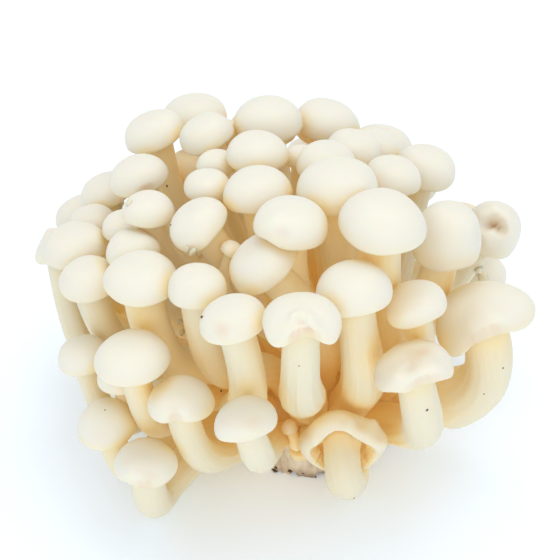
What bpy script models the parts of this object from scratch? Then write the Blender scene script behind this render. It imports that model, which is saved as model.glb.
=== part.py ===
"""A bunch of white shimeji mushrooms, standing on the flat cut of its butt.

Every mushroom is one solid: foot, stem, gills and cap.  The table below says where each
cap shows in a picture taken from the front and how large it is; the bunch is then grown
from that table, each stem from its own foot on the butt, and pushed apart until no
mushroom touches another.

Lengths are in millimetres and angles in degrees until a mesh is made, in metres.
X runs right, Y away from the viewer and Z up.  The origin is the middle of the cut face.
"""
from dataclasses import dataclass

import bmesh
import bpy
import numpy as np

MM = 0.001

# Butt: a low block, widest a little above its cut, domed where the stems stand
BUTT_RADIUS = 26.0
BUTT_CUT_RADIUS = 26.0
BUTT_WAIST = 8.0
BUTT_HEIGHT = 24.0
BUTT_SIDES = 40
BUTT_LEVELS = (66.0, 44.0, 24.0, 8.0)
BUTT_FLANK = ((1.0, 0.62), (0.99, 0.28))

# Where the butt was torn in on its way from the bed: bearing from the front towards the
# right, spread and share of the radius
BUTT_DENTS = ((48.0, 26.0, 0.15), (150.0, 40.0, 0.10), (245.0, 24.0, 0.08))

# Furrows round the butt's flank and tears in its lower edge: waves a turn, start, size
FURROWS = ((13, 1.0, 0.0081), (20, 0.0, 0.0063))
TEARS = ((5, 2.0, 0.030), (9, 0.4, 0.024))

# Dome that the middles of the caps lie on
DOME_CENTRE = np.array((-8.0, -2.0, 37.0))
DOME_RADII = np.array((56.0, 53.0, 42.0))

# The view in which the caps' places are read, and its size in pixels
VIEW_CENTRE = np.array((-9.5, 0.0, 43.0))
VIEW_DISTANCE = 390.0
VIEW_ELEVATION = 35.0
VIEW_SPREAD = 0.36
PICTURE_SIDE = 560

# Cap, as shares of half its width: its dome rises over the widest ring by CAP_RISE in
# levels of height angle and reach, its margin rolls under by CAP_ROLL to a lip, and the
# gills between lip and neck are pleated up and down by GILL_PLEAT.  The cap's place is
# its middle in the picture, and caps turn outwards round the bunch by CAP_SPREAD.
CAP_RISE = 0.73
CAP_LEVELS = ((0.0, 1.0), (25.0, 0.95), (53.0, 0.69))
CAP_ROLL = 0.13
CAP_LIP = 0.86
CAP_MIDDLE = 0.13
NECK_DROP = 0.13
GILL_HEIGHT = -0.06
GILL_LOBES = 0.6
GILL_PLEAT = 0.06
WIDE_CAP = 14.0
WIDE_GILLS = 8
SMALL_GILLS = 7
HIDDEN_GILLS = 6
CAP_SPREAD = 0.12

# Balls that stand for a cap while it grows, in half widths: reach, height and radius of
# the rim's balls, and the height and radius of the middle one
RIM_BALLS = 14
RIM_REACH = 0.60
RIM_HEIGHT = 0.02
RIM_BALL = 0.43
MIDDLE_BALL = (0.07, 0.54)

# Clearances: between mushrooms, over the butt and over the table, and how far a cap
# reaches below its place, as a share of half its width
GAP = 0.85
FOOT_GAP = 0.4
TABLE_GAP = 2.5
LOW_CAP = 0.6

# Stem: points along it while it grows, rings of its mesh, how much a ring is worth in
# turning, and how far it first leaves the butt, as shares of its length
STEM_POINTS = 18
STEM_RINGS = 5
LONG_STEM_RINGS = 6
LONG_SAG = 0.5
TURN_SHARE = 0.9
STEM_START = 0.3
STEM_START_SAG = 0.25
BELLY_AT = 0.3
NECK_SHARE = 0.25
BELLY_SHARE = 1.12
TAPER_AT = 0.6
FOOT_LOWERING = 1.15

# Growth: rounds of pushing apart, those that hold the caps at their places, rounds from
# one search for close balls to the next, and how close is close
ROUNDS = 520
HELD_ROUNDS = 400
SEARCH_ROUNDS = 10
CLOSE = 3.0

# Shares of a shove that are followed in a round, and of a drift that is drawn back
GIVE_ALONG = 0.8
GIVE_ASIDE = 0.25
GIVE_HIDDEN = 0.6
GIVE_ORDER = 0.02
GIVE_FOOT = 1.2
GIVE_STEM = 0.7
GIVE_CLEAR = 0.5
HOLD_ASIDE = 0.10
HOLD_ALONG = 0.012
HOLD_HIDDEN = 0.01
BEND_SMOOTHING = 0.35
BEND_RELAXING = 0.995


@dataclass
class Mushroom:
    """One mushroom, read off the picture.

    at is the cap's middle in picture pixels, or for a hidden one its bearing from the
    front and its height angle on the dome.  sunk moves it away from the viewer, lean
    tips the cap to the right and nod tips it towards the viewer.  neck, belly and foot
    are radii of the stem, sag is how far it hangs before it turns to the butt, and
    foot_at is the picture point where it meets the butt.  A lobe is a bearing on the
    cap, its spread, how far the margin reaches there and how far it drops.
    """
    node: str
    at: tuple
    cap: float
    lean: float = 0.0
    nod: float = 4.0
    sunk: float = 0.0
    neck: float = 0.0
    belly: float = 0.0
    foot: float = 3.2
    tall: float = 1.0
    sag: float = 0.45
    over_butt: float = 0.0
    foot_at: tuple = ()
    hidden: bool = False
    lobes: tuple = ()
    gills: int = 0

    def __post_init__(self):
        common = HIDDEN_GILLS if self.hidden else WIDE_GILLS if self.cap > WIDE_CAP else SMALL_GILLS
        self.gills = self.gills or common
        self.neck = self.neck or NECK_SHARE * self.cap
        self.belly = self.belly or BELLY_SHARE * self.neck


CROWN = [
    Mushroom("crown_1", (194, 117), 18.0, lean=-6, sunk=9, neck=3.5, tall=0.9),
    Mushroom("crown_2", (154, 132), 15.8, lean=-16),
    Mushroom("crown_3", (208, 135), 14.0, lean=-18, tall=1.1),
    Mushroom("crown_4", (222, 134), 11.0, sunk=9),
    Mushroom("crown_5", (267, 121), 17.6),
    Mushroom("crown_6", (325, 121), 16.6, lean=4),
    Mushroom("crown_7", (375, 147), 13.5, lean=8, sunk=6),
    Mushroom("crown_8", (353, 150), 14.0, lean=4),
]
UPPER = [
    Mushroom("upper_1", (328, 163), 14.7, sunk=3),
    Mushroom("upper_2", (335, 188), 19.0, lean=-6),
    Mushroom("upper_3", (393, 176), 14.0, lean=6),
    Mushroom("upper_4", (426, 168), 15.5, lean=8, neck=2.9, tall=1.1),
    Mushroom("upper_5", (301, 157), 9.0, sunk=4, foot=2.2),
    Mushroom("upper_6", (257, 154), 14.9),
    Mushroom("upper_7", (217, 162), 9.8, sunk=5, foot=2.4),
    Mushroom("upper_8", (208, 185), 11.2, sunk=2, foot=2.6),
    Mushroom("upper_9", (260, 190), 16.2, lean=-5),
]
MIDDLE = [
    Mushroom("middle_1", (380, 222), 19.3, tall=1.1, lean=2),
    Mushroom("middle_2", (199, 222), 14.6, lean=-26, lobes=((350, 30, 0.08, 0.15),)),
    Mushroom("double_middle", (293, 222), 16.6, lean=6, sunk=2),
    Mushroom("double_middle", (258, 262), 17.2, lean=-32, neck=4.2),
    Mushroom("tiny", (230, 249), 5.4, lean=24, neck=1.3, foot=1.4, sunk=5),
    Mushroom("middle_3", (195, 286), 13.4, tall=1.15, neck=4.1, belly=4.5, sag=0.85),
    Mushroom("middle_4", (231, 315), 14.9, lean=-10, neck=4.0, belly=5.2, foot=4.0, sag=0.7, foot_at=(262, 410)),
    Mushroom("middle_5", (302, 318), 17.2, neck=3.8, belly=5.5, foot=4.6, sunk=-3, foot_at=(308, 409),
             lobes=((0, 24, -0.16, 0.0), (318, 20, 0.06, 0.22), (48, 20, 0.08, 0.16))),
    Mushroom("middle_6", (356, 284), 16.8, lean=-8, neck=4.3, belly=5.7, foot=5.0, sunk=-6,
             foot_at=(348, 404)),
    Mushroom("middle_7", (416, 301), 13.6, lean=-10, neck=3.3, sunk=-2, lobes=((300, 32, 0.1, 0.16),)),
]
RIGHT = [
    Mushroom("right_1", (412, 364), 18.1, lean=-13, neck=4.2, belly=5.2, foot=5.0, sag=0.5,
             foot_at=(380, 422), lobes=((2, 18, -0.1, -0.05),)),
    Mushroom("right_2", (487, 313), 22.5, lean=-22, nod=2, neck=5.4, belly=7.5, sag=0.6,
             tall=0.86, foot_at=(402, 404), lobes=((90, 36, 0.14, -0.06), (290, 34, 0.02, 0.16))),
    Mushroom("right_3", (449, 239), 16.4, lean=4, neck=4.2, tall=1.25, sag=0.8),
    Mushroom("right_3", (495, 235), 13.0, lean=20, neck=3.0, sunk=1, tall=1.25, sag=0.8),
]
LEFT = [
    Mushroom("double_left", (138, 176), 14.9, lean=-8),
    Mushroom("double_left", (152, 209), 11.4, lean=4, neck=3.4),
    Mushroom("left_1", (98, 193), 11.6, lean=-12, sunk=4, sag=0.7),
    Mushroom("left_2", (92, 222), 12.5, lean=-2, sunk=3, sag=0.8),
    Mushroom("left_3", (77, 245), 15.4, lean=-2, sag=0.95),
    Mushroom("left_4", (51, 245), 9.6, lean=4, sag=0.9, neck=3.2,
             lobes=((270, 40, 0.2, 0.5),)),
    Mushroom("left_5", (127, 228), 11.4, sunk=3),
    Mushroom("left_6", (133, 246), 12.8, sunk=1),
    Mushroom("left_7", (88, 280), 14.2, lean=-2, sag=1.0),
    Mushroom("left_8", (140, 277), 17.2, neck=4.6, belly=4.8, sag=0.85),
    Mushroom("left_9", (80, 357), 12.4, lean=-2, sag=0.85, tall=1.2, neck=3.0),
]
LOW = [
    Mushroom("low_1", (132, 357), 17.9, neck=3.4, belly=3.7, sag=0.8),
    Mushroom("low_2", (114, 374), 12.0, sag=0.7, sunk=7),
    Mushroom("low_3", (110, 421), 14.0, lean=-4, sag=0.75, neck=3.4, sunk=-3, tall=1.3),
    Mushroom("low_4", (150, 457), 14.6, lean=3, sag=0.8, neck=4.0, belly=4.3, sunk=-16),
    Mushroom("low_5", (178, 400), 15.6, sag=0.45, neck=3.7, belly=3.9, foot_at=(254, 437),
             lobes=((354, 16, -0.1, -0.04),)),
    Mushroom("low_6", (245, 415), 14.2, lean=-12, sag=0.42, neck=3.4, belly=3.8, foot_at=(282, 434)),
    Mushroom("front", (343, 440), 20.6, nod=-74, neck=4.4, belly=4.8, foot=4.0, sag=0.9,
             over_butt=9.0, tall=1.15, gills=18, foot_at=(345, 458),
             lobes=((20, 28, -0.18, 0.0), (64, 20, 0.1, 0.06))),
    Mushroom("pin_1", (287, 430), 4.0, neck=1.3, foot=1.3, over_butt=5.5, tall=1.8, gills=4),
    Mushroom("pin_2", (303, 433), 3.6, neck=1.2, foot=1.4, over_butt=5.4, tall=1.4, gills=4,
             foot_at=(295, 449)),
]

# Side that the view doesn't show: height angle of each row, how many stand in it, how
# wide a sector it fills and its sag.  Neighbours in a row grow in twos from one foot.
HIDDEN_ROWS = ((40.0, 4, 96.0, 0.45), (14.0, 6, 138.0, 0.45), (-7.0, 6, 150.0, 0.4),
               (-24.0, 4, 152.0, 0.65))
HIDDEN_CAPS = (14.0, 18.5)
HIDDEN_NECK = 0.21
HIDDEN_FOOT = 3.0
HIDDEN_SCATTER = 3.0
HIDDEN_SEED = 7

# Looks of the plain materials, and the angle above which an edge stays sharp
BUTT_COLOUR = (0.52, 0.37, 0.24, 1.0)
BUTT_ROUGHNESS = 0.9
FLESH_COLOUR = (0.90, 0.86, 0.76, 1.0)
FLESH_ROUGHNESS = 0.45
SHARP_ANGLE = 50.0

# Points of the butt nearer to each other than this are one
MERGE_WITHIN = 0.01


def unit(vectors):
    """Vectors scaled to length one."""
    return vectors / np.linalg.norm(vectors, axis=-1, keepdims=True)


def hidden_mushrooms():
    """The mushrooms behind, by rows, with a seeded scatter."""
    chance = np.random.default_rng(HIDDEN_SEED)
    grown = []
    for height, count, sector, sag in HIDDEN_ROWS:
        for place in range(count):
            bearing = 180.0 + sector * ((place + 0.5) / count - 0.5)
            bearing += chance.uniform(-1, 1) * HIDDEN_SCATTER
            angle = height + chance.uniform(-1, 1) * HIDDEN_SCATTER
            width = chance.uniform(*HIDDEN_CAPS)
            node = f"back_{len(grown) // 2 + 1}"
            grown.append(Mushroom(node, (bearing, angle), width, hidden=True, nod=0.0,
                                  neck=HIDDEN_NECK * width, foot=HIDDEN_FOOT, sag=sag))
    return grown


def view_axes():
    """Eye, and the view's right, up and forward directions."""
    tilt = np.radians(VIEW_ELEVATION)
    forward = np.array((0.0, np.cos(tilt), -np.sin(tilt)))
    up = np.array((0.0, np.sin(tilt), np.cos(tilt)))
    return VIEW_CENTRE - VIEW_DISTANCE * forward, np.array((1.0, 0.0, 0.0)), up, forward


def cast(at, centre, radii, sunk):
    """Where the line of sight through a picture point meets an ellipsoid, or passes
    nearest to it, moved on by sunk."""
    eye, right, up, forward = view_axes()
    across = (at[0] / PICTURE_SIDE - 0.5) * VIEW_SPREAD
    down = (at[1] / PICTURE_SIDE - 0.5) * VIEW_SPREAD
    sight = unit(forward + across * right - down * up)
    start = (eye - centre) / radii
    step = sight / radii
    square, half = step @ step, start @ step
    room = half * half - square * (start @ start - 1.0)
    reach = (-half - np.sqrt(max(room, 0.0))) / square
    return eye + (reach + sunk) * sight, sight


def on_dome(bearing, height):
    """A point on the dome: bearing from the front towards the right, height angle."""
    turn, rise = np.radians((bearing, height))
    flat = np.cos(rise)
    return DOME_CENTRE + DOME_RADII * (flat * np.sin(turn), -flat * np.cos(turn), np.sin(rise))


def butt_shell(over=0.0):
    """Centre and half-axes of the butt's domed top, grown outwards by over."""
    centre = np.array((0.0, 0.0, BUTT_WAIST))
    rise = BUTT_HEIGHT - BUTT_WAIST
    return centre, np.array((BUTT_RADIUS, BUTT_RADIUS, rise)) + over


def cap_axis(mushroom, place):
    """Way that the cap faces: up, a little outwards, then leaned and nodded."""
    outward = unit((place - DOME_CENTRE) / DOME_RADII)
    axis = np.array((0.0, 0.0, 1.0)) + CAP_SPREAD * outward * (1.0, 1.0, 0.0)
    if mushroom.hidden:
        return unit(axis)
    lean, nod = np.radians((mushroom.lean, mushroom.nod))
    side, front, rise = axis
    leaned = rise * np.cos(lean) - side * np.sin(lean)
    side = side * np.cos(lean) + rise * np.sin(lean)
    nodded = leaned * np.cos(nod) + front * np.sin(nod)
    front = front * np.cos(nod) - leaned * np.sin(nod)
    return unit(np.array((side, front, nodded)))


class Bunch:
    """The places of all caps and stems, grown and then pushed apart."""

    def __init__(self, mushrooms):
        self.mushrooms = mushrooms
        self.half = np.array([m.cap for m in mushrooms]) / 2
        self.seen = np.array([not m.hidden for m in mushrooms])
        places, sights = [], []
        for m in mushrooms:
            if m.hidden:
                places.append(on_dome(*m.at))
                sights.append(np.zeros(3))
                continue
            shell = butt_shell(m.over_butt) if m.over_butt else (DOME_CENTRE, DOME_RADII)
            place, sight = cast(m.at, *shell, m.sunk)
            places.append(place)
            sights.append(sight)
        self.place = np.array(places)
        self.home = self.place.copy()
        self.sight = np.array(sights)
        self.axis = np.array([cap_axis(m, p) for m, p in zip(mushrooms, places)])
        self.foot = self.first_feet()
        self.rooted = np.array([bool(m.foot_at) for m in mushrooms])
        self.bend = np.zeros((len(mushrooms), STEM_POINTS, 3))
        self.radius = np.array([self.stem_radii(m) for m in mushrooms])
        self.balls = np.array([self.cap_balls(m) for m in mushrooms])
        names = sorted({m.node for m in mushrooms})
        self.group = np.array([names.index(m.node) for m in mushrooms])

    def first_feet(self):
        """Each foot on the butt, under its own cap; grown-together ones share one."""
        centre, radii = butt_shell(FOOT_GAP)
        way = unit((self.place - centre) / (1.0, 1.0, FOOT_LOWERING))
        way[:, 2] = np.maximum(way[:, 2], 0.0)
        nodes = [m.node for m in self.mushrooms]
        for node in set(nodes):
            same = [i for i, name in enumerate(nodes) if name == node]
            way[same] = way[same].mean(axis=0)
        feet = centre + unit(way) * radii
        for i, m in enumerate(self.mushrooms):
            if m.foot_at:
                feet[i] = cast(m.foot_at, centre, radii, 0.0)[0]
                feet[i, 2] = max(feet[i, 2], BUTT_WAIST)
        return feet

    @staticmethod
    def stem_radii(mushroom):
        """Radii from foot to neck: swelling to the belly, then tapering."""
        along = np.linspace(0.0, 1.0, STEM_POINTS)
        taper = 0.5 * (mushroom.belly + mushroom.neck)
        return np.interp(along, (0.0, BELLY_AT, TAPER_AT, 1.0),
                         (mushroom.foot, mushroom.belly, taper, mushroom.neck))

    @staticmethod
    def cap_balls(mushroom):
        """Balls that fill a cap, as across, deep, high and radius in half widths."""
        turn = np.linspace(0.0, 2 * np.pi, RIM_BALLS, endpoint=False)
        rim = [(RIM_REACH * np.sin(t), RIM_REACH * np.cos(t), RIM_HEIGHT, RIM_BALL) for t in turn]
        middle = (0.0, 0.0, MIDDLE_BALL[0], MIDDLE_BALL[1] * mushroom.tall)
        return np.vstack((middle, rim)) * mushroom.cap / 2

    def necks(self):
        """Points where the stems enter the caps."""
        return self.place - self.axis * (self.half * (CAP_MIDDLE + NECK_DROP))[:, None]

    def rest_stems(self):
        """Stems as smooth curves from foot to neck, square to the butt and to the cap."""
        centre, radii = butt_shell(FOOT_GAP)
        necks = self.necks()
        outward = unit((self.foot - centre) / radii ** 2)
        length = np.linalg.norm(necks - self.foot, axis=1)[:, None]
        sag = np.array([m.sag for m in self.mushrooms])[:, None]
        early = self.foot + outward * (STEM_START + STEM_START_SAG * sag) * length
        late = necks - self.axis * sag * length
        t = np.linspace(0.0, 1.0, STEM_POINTS)[:, None]
        weights = ((1 - t) ** 3, 3 * t * (1 - t) ** 2, 3 * t * t * (1 - t), t ** 3)
        ends = (self.foot, early, late, necks)
        return sum(w[None] * e[:, None] for w, e in zip(weights, ends))

    def cap_frames(self):
        """For each cap, its front and right directions, square to its axis."""
        ahead = np.array((0.0, -1.0, 0.0))
        front = unit(ahead - self.axis * (self.axis @ ahead)[:, None])
        return front, np.cross(self.axis, front)

    def all_balls(self, stems):
        """Centres and radii of the balls that stand for stems and caps."""
        front, right = self.cap_frames()
        offset = (self.balls[..., 0:1] * right[:, None] + self.balls[..., 1:2] * front[:, None]
                  + self.balls[..., 2:3] * self.axis[:, None])
        caps = self.place[:, None] + offset
        centres = np.concatenate((stems, caps), axis=1)
        radii = np.concatenate((self.radius, self.balls[..., 3]), axis=1)
        return centres, radii

    def near_pairs(self, centres, radii):
        """Pairs of balls of different mushrooms that are close enough to matter."""
        count, per = radii.shape
        owner = np.repeat(np.arange(count), per)
        part = np.tile(np.arange(per), count)
        flat, size = centres.reshape(-1, 3), radii.reshape(-1)
        first, second = [], []
        for i in range(count):
            mine = slice(i * per, (i + 1) * per)
            rest = slice((i + 1) * per, None)
            apart = np.linalg.norm(flat[mine, None] - flat[None, rest], axis=2)
            close = apart < size[mine, None] + size[None, rest] + CLOSE
            a, b = np.nonzero(close)
            first.append(a + i * per)
            second.append(b + (i + 1) * per)
        first, second = np.concatenate(first), np.concatenate(second)
        same = self.group[owner[first]] == self.group[owner[second]]
        return first[~same], second[~same], owner, part

    def push_apart(self):
        """Moves caps along the lines of sight, feet over the butt and stems sideways."""
        for turn in range(ROUNDS):
            rest = self.rest_stems()
            stems = rest + self.bend
            centres, radii = self.all_balls(stems)
            if turn % SEARCH_ROUNDS == 0:
                first, second, owner, part = self.near_pairs(centres, radii)
            flat, size = centres.reshape(-1, 3), radii.reshape(-1)
            between = flat[first] - flat[second]
            apart = np.linalg.norm(between, axis=1) + 1e-9
            deep = np.maximum(size[first] + size[second] + GAP - apart, 0.0)
            shove = between * (0.5 * deep / apart)[:, None]
            total = np.zeros_like(flat)
            np.add.at(total, first, shove)
            np.add.at(total, second, -shove)
            touched = np.zeros(len(flat))
            np.add.at(touched, first, deep > 0)
            np.add.at(touched, second, deep > 0)
            total /= np.maximum(touched, 1.0)[:, None]
            total = total.reshape(centres.shape)
            hold = 1.0 if turn < HELD_ROUNDS else 0.0
            self.move_caps(total[:, STEM_POINTS:], first, second, deep, owner, part, hold)
            self.move_feet(total[:, :3])
            self.bend += GIVE_STEM * total[:, :STEM_POINTS]
            self.clear_butt_and_table(rest)
            self.smooth_bend()
        return self.rest_stems() + self.bend

    def move_caps(self, shove, first, second, deep, owner, part, hold):
        """A hidden cap gives way; a seen one slides along its line of sight.

        hold draws each back to its own place, until the last rounds let go.
        """
        strength = np.linalg.norm(shove, axis=2)
        busy = np.maximum((strength > 0).sum(axis=1), 1)
        move = shove.sum(axis=1) / np.sqrt(busy)[:, None]
        self.place[~self.seen] += GIVE_HIDDEN * move[~self.seen]
        along = (move * self.sight).sum(axis=1)[:, None] * self.sight
        aside = move - along
        self.place[self.seen] += (GIVE_ALONG * along + GIVE_ASIDE * aside)[self.seen]
        caps = (part[first] >= STEM_POINTS) & (part[second] >= STEM_POINTS) & (deep > 0)
        a, b = owner[first][caps], owner[second][caps]
        both = self.seen[a] & self.seen[b]
        a, b, depth = a[both], b[both], deep[caps][both]
        order = np.sign(((self.place[a] - self.place[b]) * self.sight[a]).sum(axis=1))
        gather = np.zeros(len(self.place))
        np.add.at(gather, a, order * depth)
        np.add.at(gather, b, -order * depth)
        self.place += GIVE_ORDER * gather[:, None] * self.sight
        drift = self.place - self.home
        ahead = (drift * self.sight).sum(axis=1)[:, None] * self.sight
        side = drift - ahead
        self.place[self.seen] -= hold * (HOLD_ASIDE * side + HOLD_ALONG * ahead)[self.seen]
        self.place[~self.seen] -= hold * HOLD_HIDDEN * drift[~self.seen]

    def move_feet(self, shove):
        """Feet slide over the butt; those grown together stay together."""
        centre, radii = butt_shell(FOOT_GAP)
        move = shove.mean(axis=1)
        for group in range(self.group.max() + 1):
            same = self.group == group
            move[same] = move[same].mean(axis=0)
        foot = self.foot + GIVE_FOOT * move
        way = (foot - centre) / radii
        way[:, 2] = np.maximum(way[:, 2], 0.0)
        feet = centre + unit(way) * radii
        self.foot = np.where(self.rooted[:, None], self.foot, feet)

    def clear_butt_and_table(self, rest):
        """Stems stay outside the butt and above the table, and so do caps."""
        centre, radii = butt_shell()
        stems = rest + self.bend
        reach = self.radius[:, 2:] + GAP
        way = stems[:, 2:] - centre
        inside = np.linalg.norm(way / (radii + reach[..., None]), axis=2)
        out = way * (1.0 / np.maximum(inside, 1e-6) - 1.0)[..., None]
        self.bend[:, 2:] += GIVE_CLEAR * out * (inside < 1.0)[..., None]
        low = TABLE_GAP + self.radius - stems[..., 2]
        self.bend[..., 2] += GIVE_CLEAR * np.maximum(low, 0.0)
        low_cap = TABLE_GAP + LOW_CAP * self.half - self.place[:, 2]
        self.place[:, 2] += GIVE_CLEAR * np.maximum(low_cap, 0.0)

    def smooth_bend(self):
        """Spreads each stem's bend along it and holds its ends."""
        bend = self.bend
        bend[:, 0] = 0.0
        bend[:, -1] = 0.0
        inner = 0.5 * (bend[:, :-2] + bend[:, 2:])
        bend[:, 1:-1] += BEND_SMOOTHING * (inner - bend[:, 1:-1])
        bend *= BEND_RELAXING


def ring_stations(line, count):
    """Places along a line of points for a stem's rings: even in length and in turning."""
    step = np.linalg.norm(np.diff(line, axis=0), axis=1)
    ways = unit(np.diff(line, axis=0))
    turn = np.degrees(np.arccos(np.clip((ways[:-1] * ways[1:]).sum(axis=1), -1.0, 1.0)))
    turn = np.append(0.0, turn) + np.append(turn, 0.0)
    cost = np.concatenate(((0.0,), np.cumsum(step / step.sum() + TURN_SHARE * turn / 90.0)))
    return np.interp(np.linspace(0.0, cost[-1], count), cost, np.arange(len(line)))


def at_station(values, stations):
    """Values along a stem, read between its points."""
    index = np.arange(len(values))
    return np.stack([np.interp(stations, index, column) for column in values.T], axis=1)


def cap_reach(mushroom, turn):
    """Share by which the cap's lobes carry its margin out and down, round the cap."""
    out = np.zeros_like(turn)
    drop = np.zeros_like(turn)
    for bearing, spread, reach, fall in mushroom.lobes:
        away = (turn - np.radians(bearing) + np.pi) % (2 * np.pi) - np.pi
        bump = np.exp(-(away / np.radians(spread)) ** 2)
        out += reach * bump
        drop += fall * bump
    return out, drop


def cap_rings(mushroom, place, axis, front, right):
    """Rings of a cap from the gills' inner edge, round the margin and up its dome."""
    gills = mushroom.gills
    turn = np.linspace(0.0, 2 * np.pi, 2 * gills, endpoint=False)
    out, drop = cap_reach(mushroom, turn)
    half = mushroom.cap / 2
    pleat = GILL_PLEAT * np.where(np.arange(2 * gills) % 2 == 0, -1.0, 1.0)
    rise = CAP_RISE * mushroom.tall
    neck = mushroom.neck / half
    profile = [(0.5 * (neck + CAP_LIP), GILL_HEIGHT + pleat, GILL_LOBES), (CAP_LIP, -CAP_ROLL, 1.0)]
    profile += [(across, rise * np.sin(np.radians(angle)), across ** 2) for angle, across in CAP_LEVELS]
    base = place - axis * CAP_MIDDLE * half
    rings = []
    for across, height, share in profile:
        wide = half * across * (1.0 + share * out)
        high = half * (height - share * drop)
        spokes = np.cos(turn)[:, None] * front + np.sin(turn)[:, None] * right
        rings.append(base + wide[:, None] * spokes + high[:, None] * axis)
    return rings, base + axis * rise * half


def stem_rings(mushroom, line, radii, axis, front):
    """Rings of a stem from foot to neck, its sides carried down from the cap's bearings."""
    count = LONG_STEM_RINGS if mushroom.sag > LONG_SAG else STEM_RINGS
    stations = ring_stations(line, count)
    centres = at_station(line, stations)
    widths = at_station(radii[:, None], stations)[:, 0]
    ways = np.gradient(line, axis=0)
    ways[-1] = axis
    ways = unit(at_station(ways, stations))
    turn = np.linspace(0.0, 2 * np.pi, mushroom.gills, endpoint=False)
    rings, ahead = [], front
    for centre, width, way in zip(centres[::-1], widths[::-1], ways[::-1]):
        ahead = unit(ahead - way * (ahead @ way))
        side = np.cross(way, ahead)
        spokes = np.cos(turn)[:, None] * ahead + np.sin(turn)[:, None] * side
        rings.append(centre + width * spokes)
    return rings[::-1]


def add_ring(bm, ring):
    """Vertices of one ring, brought to metres."""
    return [bm.verts.new(point * MM) for point in ring]


def mushroom_mesh(name, mushroom, place, axis, front, right, line, radii):
    """Lofts foot, stem, gills and cap into one closed mesh.

    The stem's round section has half as many corners as the pleated gills and the cap,
    so the ring of gills is stitched to it with three faces for each corner.
    """
    bm = bmesh.new()
    rings, apex = cap_rings(mushroom, place, axis, front, right)
    stem = [add_ring(bm, ring) for ring in stem_rings(mushroom, line, radii, axis, front)]
    cap = [add_ring(bm, ring) for ring in rings]
    bm.faces.new(stem[0][::-1])
    for low, high in list(zip(stem, stem[1:])) + list(zip(cap, cap[1:])):
        count = len(low)
        for i in range(count):
            j = (i + 1) % count
            bm.faces.new((low[i], low[j], high[j], high[i]))
    neck, gill, count = stem[-1], cap[0], len(stem[-1])
    for i in range(count):
        j = (i + 1) % count
        bm.faces.new((neck[i], gill[2 * i + 1], gill[2 * i]))
        bm.faces.new((neck[i], neck[j], gill[2 * i + 1]))
        bm.faces.new((neck[j], gill[(2 * i + 2) % len(gill)], gill[2 * i + 1]))
    tip = bm.verts.new(apex * MM)
    top = cap[-1]
    for i in range(len(top)):
        bm.faces.new((top[i], top[(i + 1) % len(top)], tip))
    bmesh.ops.triangulate(bm, faces=bm.faces)
    bmesh.ops.recalc_face_normals(bm, faces=bm.faces)
    mesh = bpy.data.meshes.new(name)
    bm.to_mesh(mesh)
    bm.free()
    return mesh


def finish_object(mesh, name, material, collection):
    """Puts a mesh in the collection as a smooth object with its own material."""
    thing = bpy.data.objects.new(name, mesh)
    collection.objects.link(thing)
    mesh.materials.clear()
    mesh.materials.append(material)
    mesh.shade_smooth()
    mesh.set_sharp_from_angle(angle=np.radians(SHARP_ANGLE))
    return thing


def material_for(name, colour, roughness):
    """Plain Principled material."""
    material = bpy.data.materials.new(name)
    material.use_nodes = True
    shader = material.node_tree.nodes["Principled BSDF"]
    shader.inputs["Base Color"].default_value = colour
    shader.inputs["Roughness"].default_value = roughness
    return material


def fuse(whole, twin):
    """Joins a mushroom grown onto another into its solid, and removes it."""
    union = whole.modifiers.new("grown_together", "BOOLEAN")
    union.operation = "UNION"
    union.solver = "EXACT"
    union.object = twin
    graph = bpy.context.evaluated_depsgraph_get()
    mesh = bpy.data.meshes.new_from_object(whole.evaluated_get(graph))
    whole.modifiers.clear()
    whole.data = mesh
    bpy.data.objects.remove(twin)


def build_butt(collection):
    """The block that the stems grow from: a turned profile, roughened into furrows."""
    rise = BUTT_HEIGHT - BUTT_WAIST
    profile = [(0.0, BUTT_HEIGHT)]
    profile += [(BUTT_RADIUS * np.cos(a), BUTT_WAIST + rise * np.sin(a)) for a in np.radians(BUTT_LEVELS)]
    profile += [(across * BUTT_RADIUS, height * BUTT_WAIST) for across, height in BUTT_FLANK]
    profile += [(BUTT_CUT_RADIUS, 0.0), (0.0, 0.0)]
    mesh = bpy.data.meshes.new("butt")
    points = [(x * MM, 0.0, z * MM) for x, z in profile]
    mesh.from_pydata(points, [(i, i + 1) for i in range(len(points) - 1)], [])
    butt = finish_object(mesh, "butt", material_for("butt", BUTT_COLOUR, BUTT_ROUGHNESS), collection)
    turn = butt.modifiers.new("turn", "SCREW")
    turn.steps = turn.render_steps = BUTT_SIDES
    turn.use_merge_vertices = True
    turn.merge_threshold = MERGE_WITHIN * MM
    turn.use_smooth_shade = True
    graph = bpy.context.evaluated_depsgraph_get()
    butt.data = bpy.data.meshes.new_from_object(butt.evaluated_get(graph))
    butt.modifiers.clear()
    roughen_butt(butt.data)
    return butt


def roughen_butt(mesh):
    """Furrows, torn edges and dents on the butt's flank, by sums of waves and bumps
    round it."""
    points = np.empty(3 * len(mesh.vertices))
    mesh.vertices.foreach_get("co", points)
    points = points.reshape(-1, 3)
    turn = np.arctan2(points[:, 1], points[:, 0])
    height = points[:, 2] / MM
    low = np.clip(1.0 - height / BUTT_WAIST, 0.0, 1.0)
    wave = sum(size * np.sin(count * turn + start) for count, start, size in FURROWS)
    tear = sum(size * np.sin(count * turn + start) for count, start, size in TEARS)
    wide = 1.0 + wave - low * np.maximum(tear, 0.0)
    for bearing, spread, share in BUTT_DENTS:
        away = np.angle(np.exp(1j * (turn + np.pi / 2 - np.radians(bearing))))
        wide -= share * np.sqrt(low) * np.exp(-(away / np.radians(spread)) ** 2)
    on_flank = (height < BUTT_WAIST) & (np.hypot(points[:, 0], points[:, 1]) > 0.5 * BUTT_RADIUS * MM)
    points[on_flank, :2] *= wide[on_flank, None]
    mesh.vertices.foreach_set("co", points.ravel())
    mesh.update()


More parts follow.
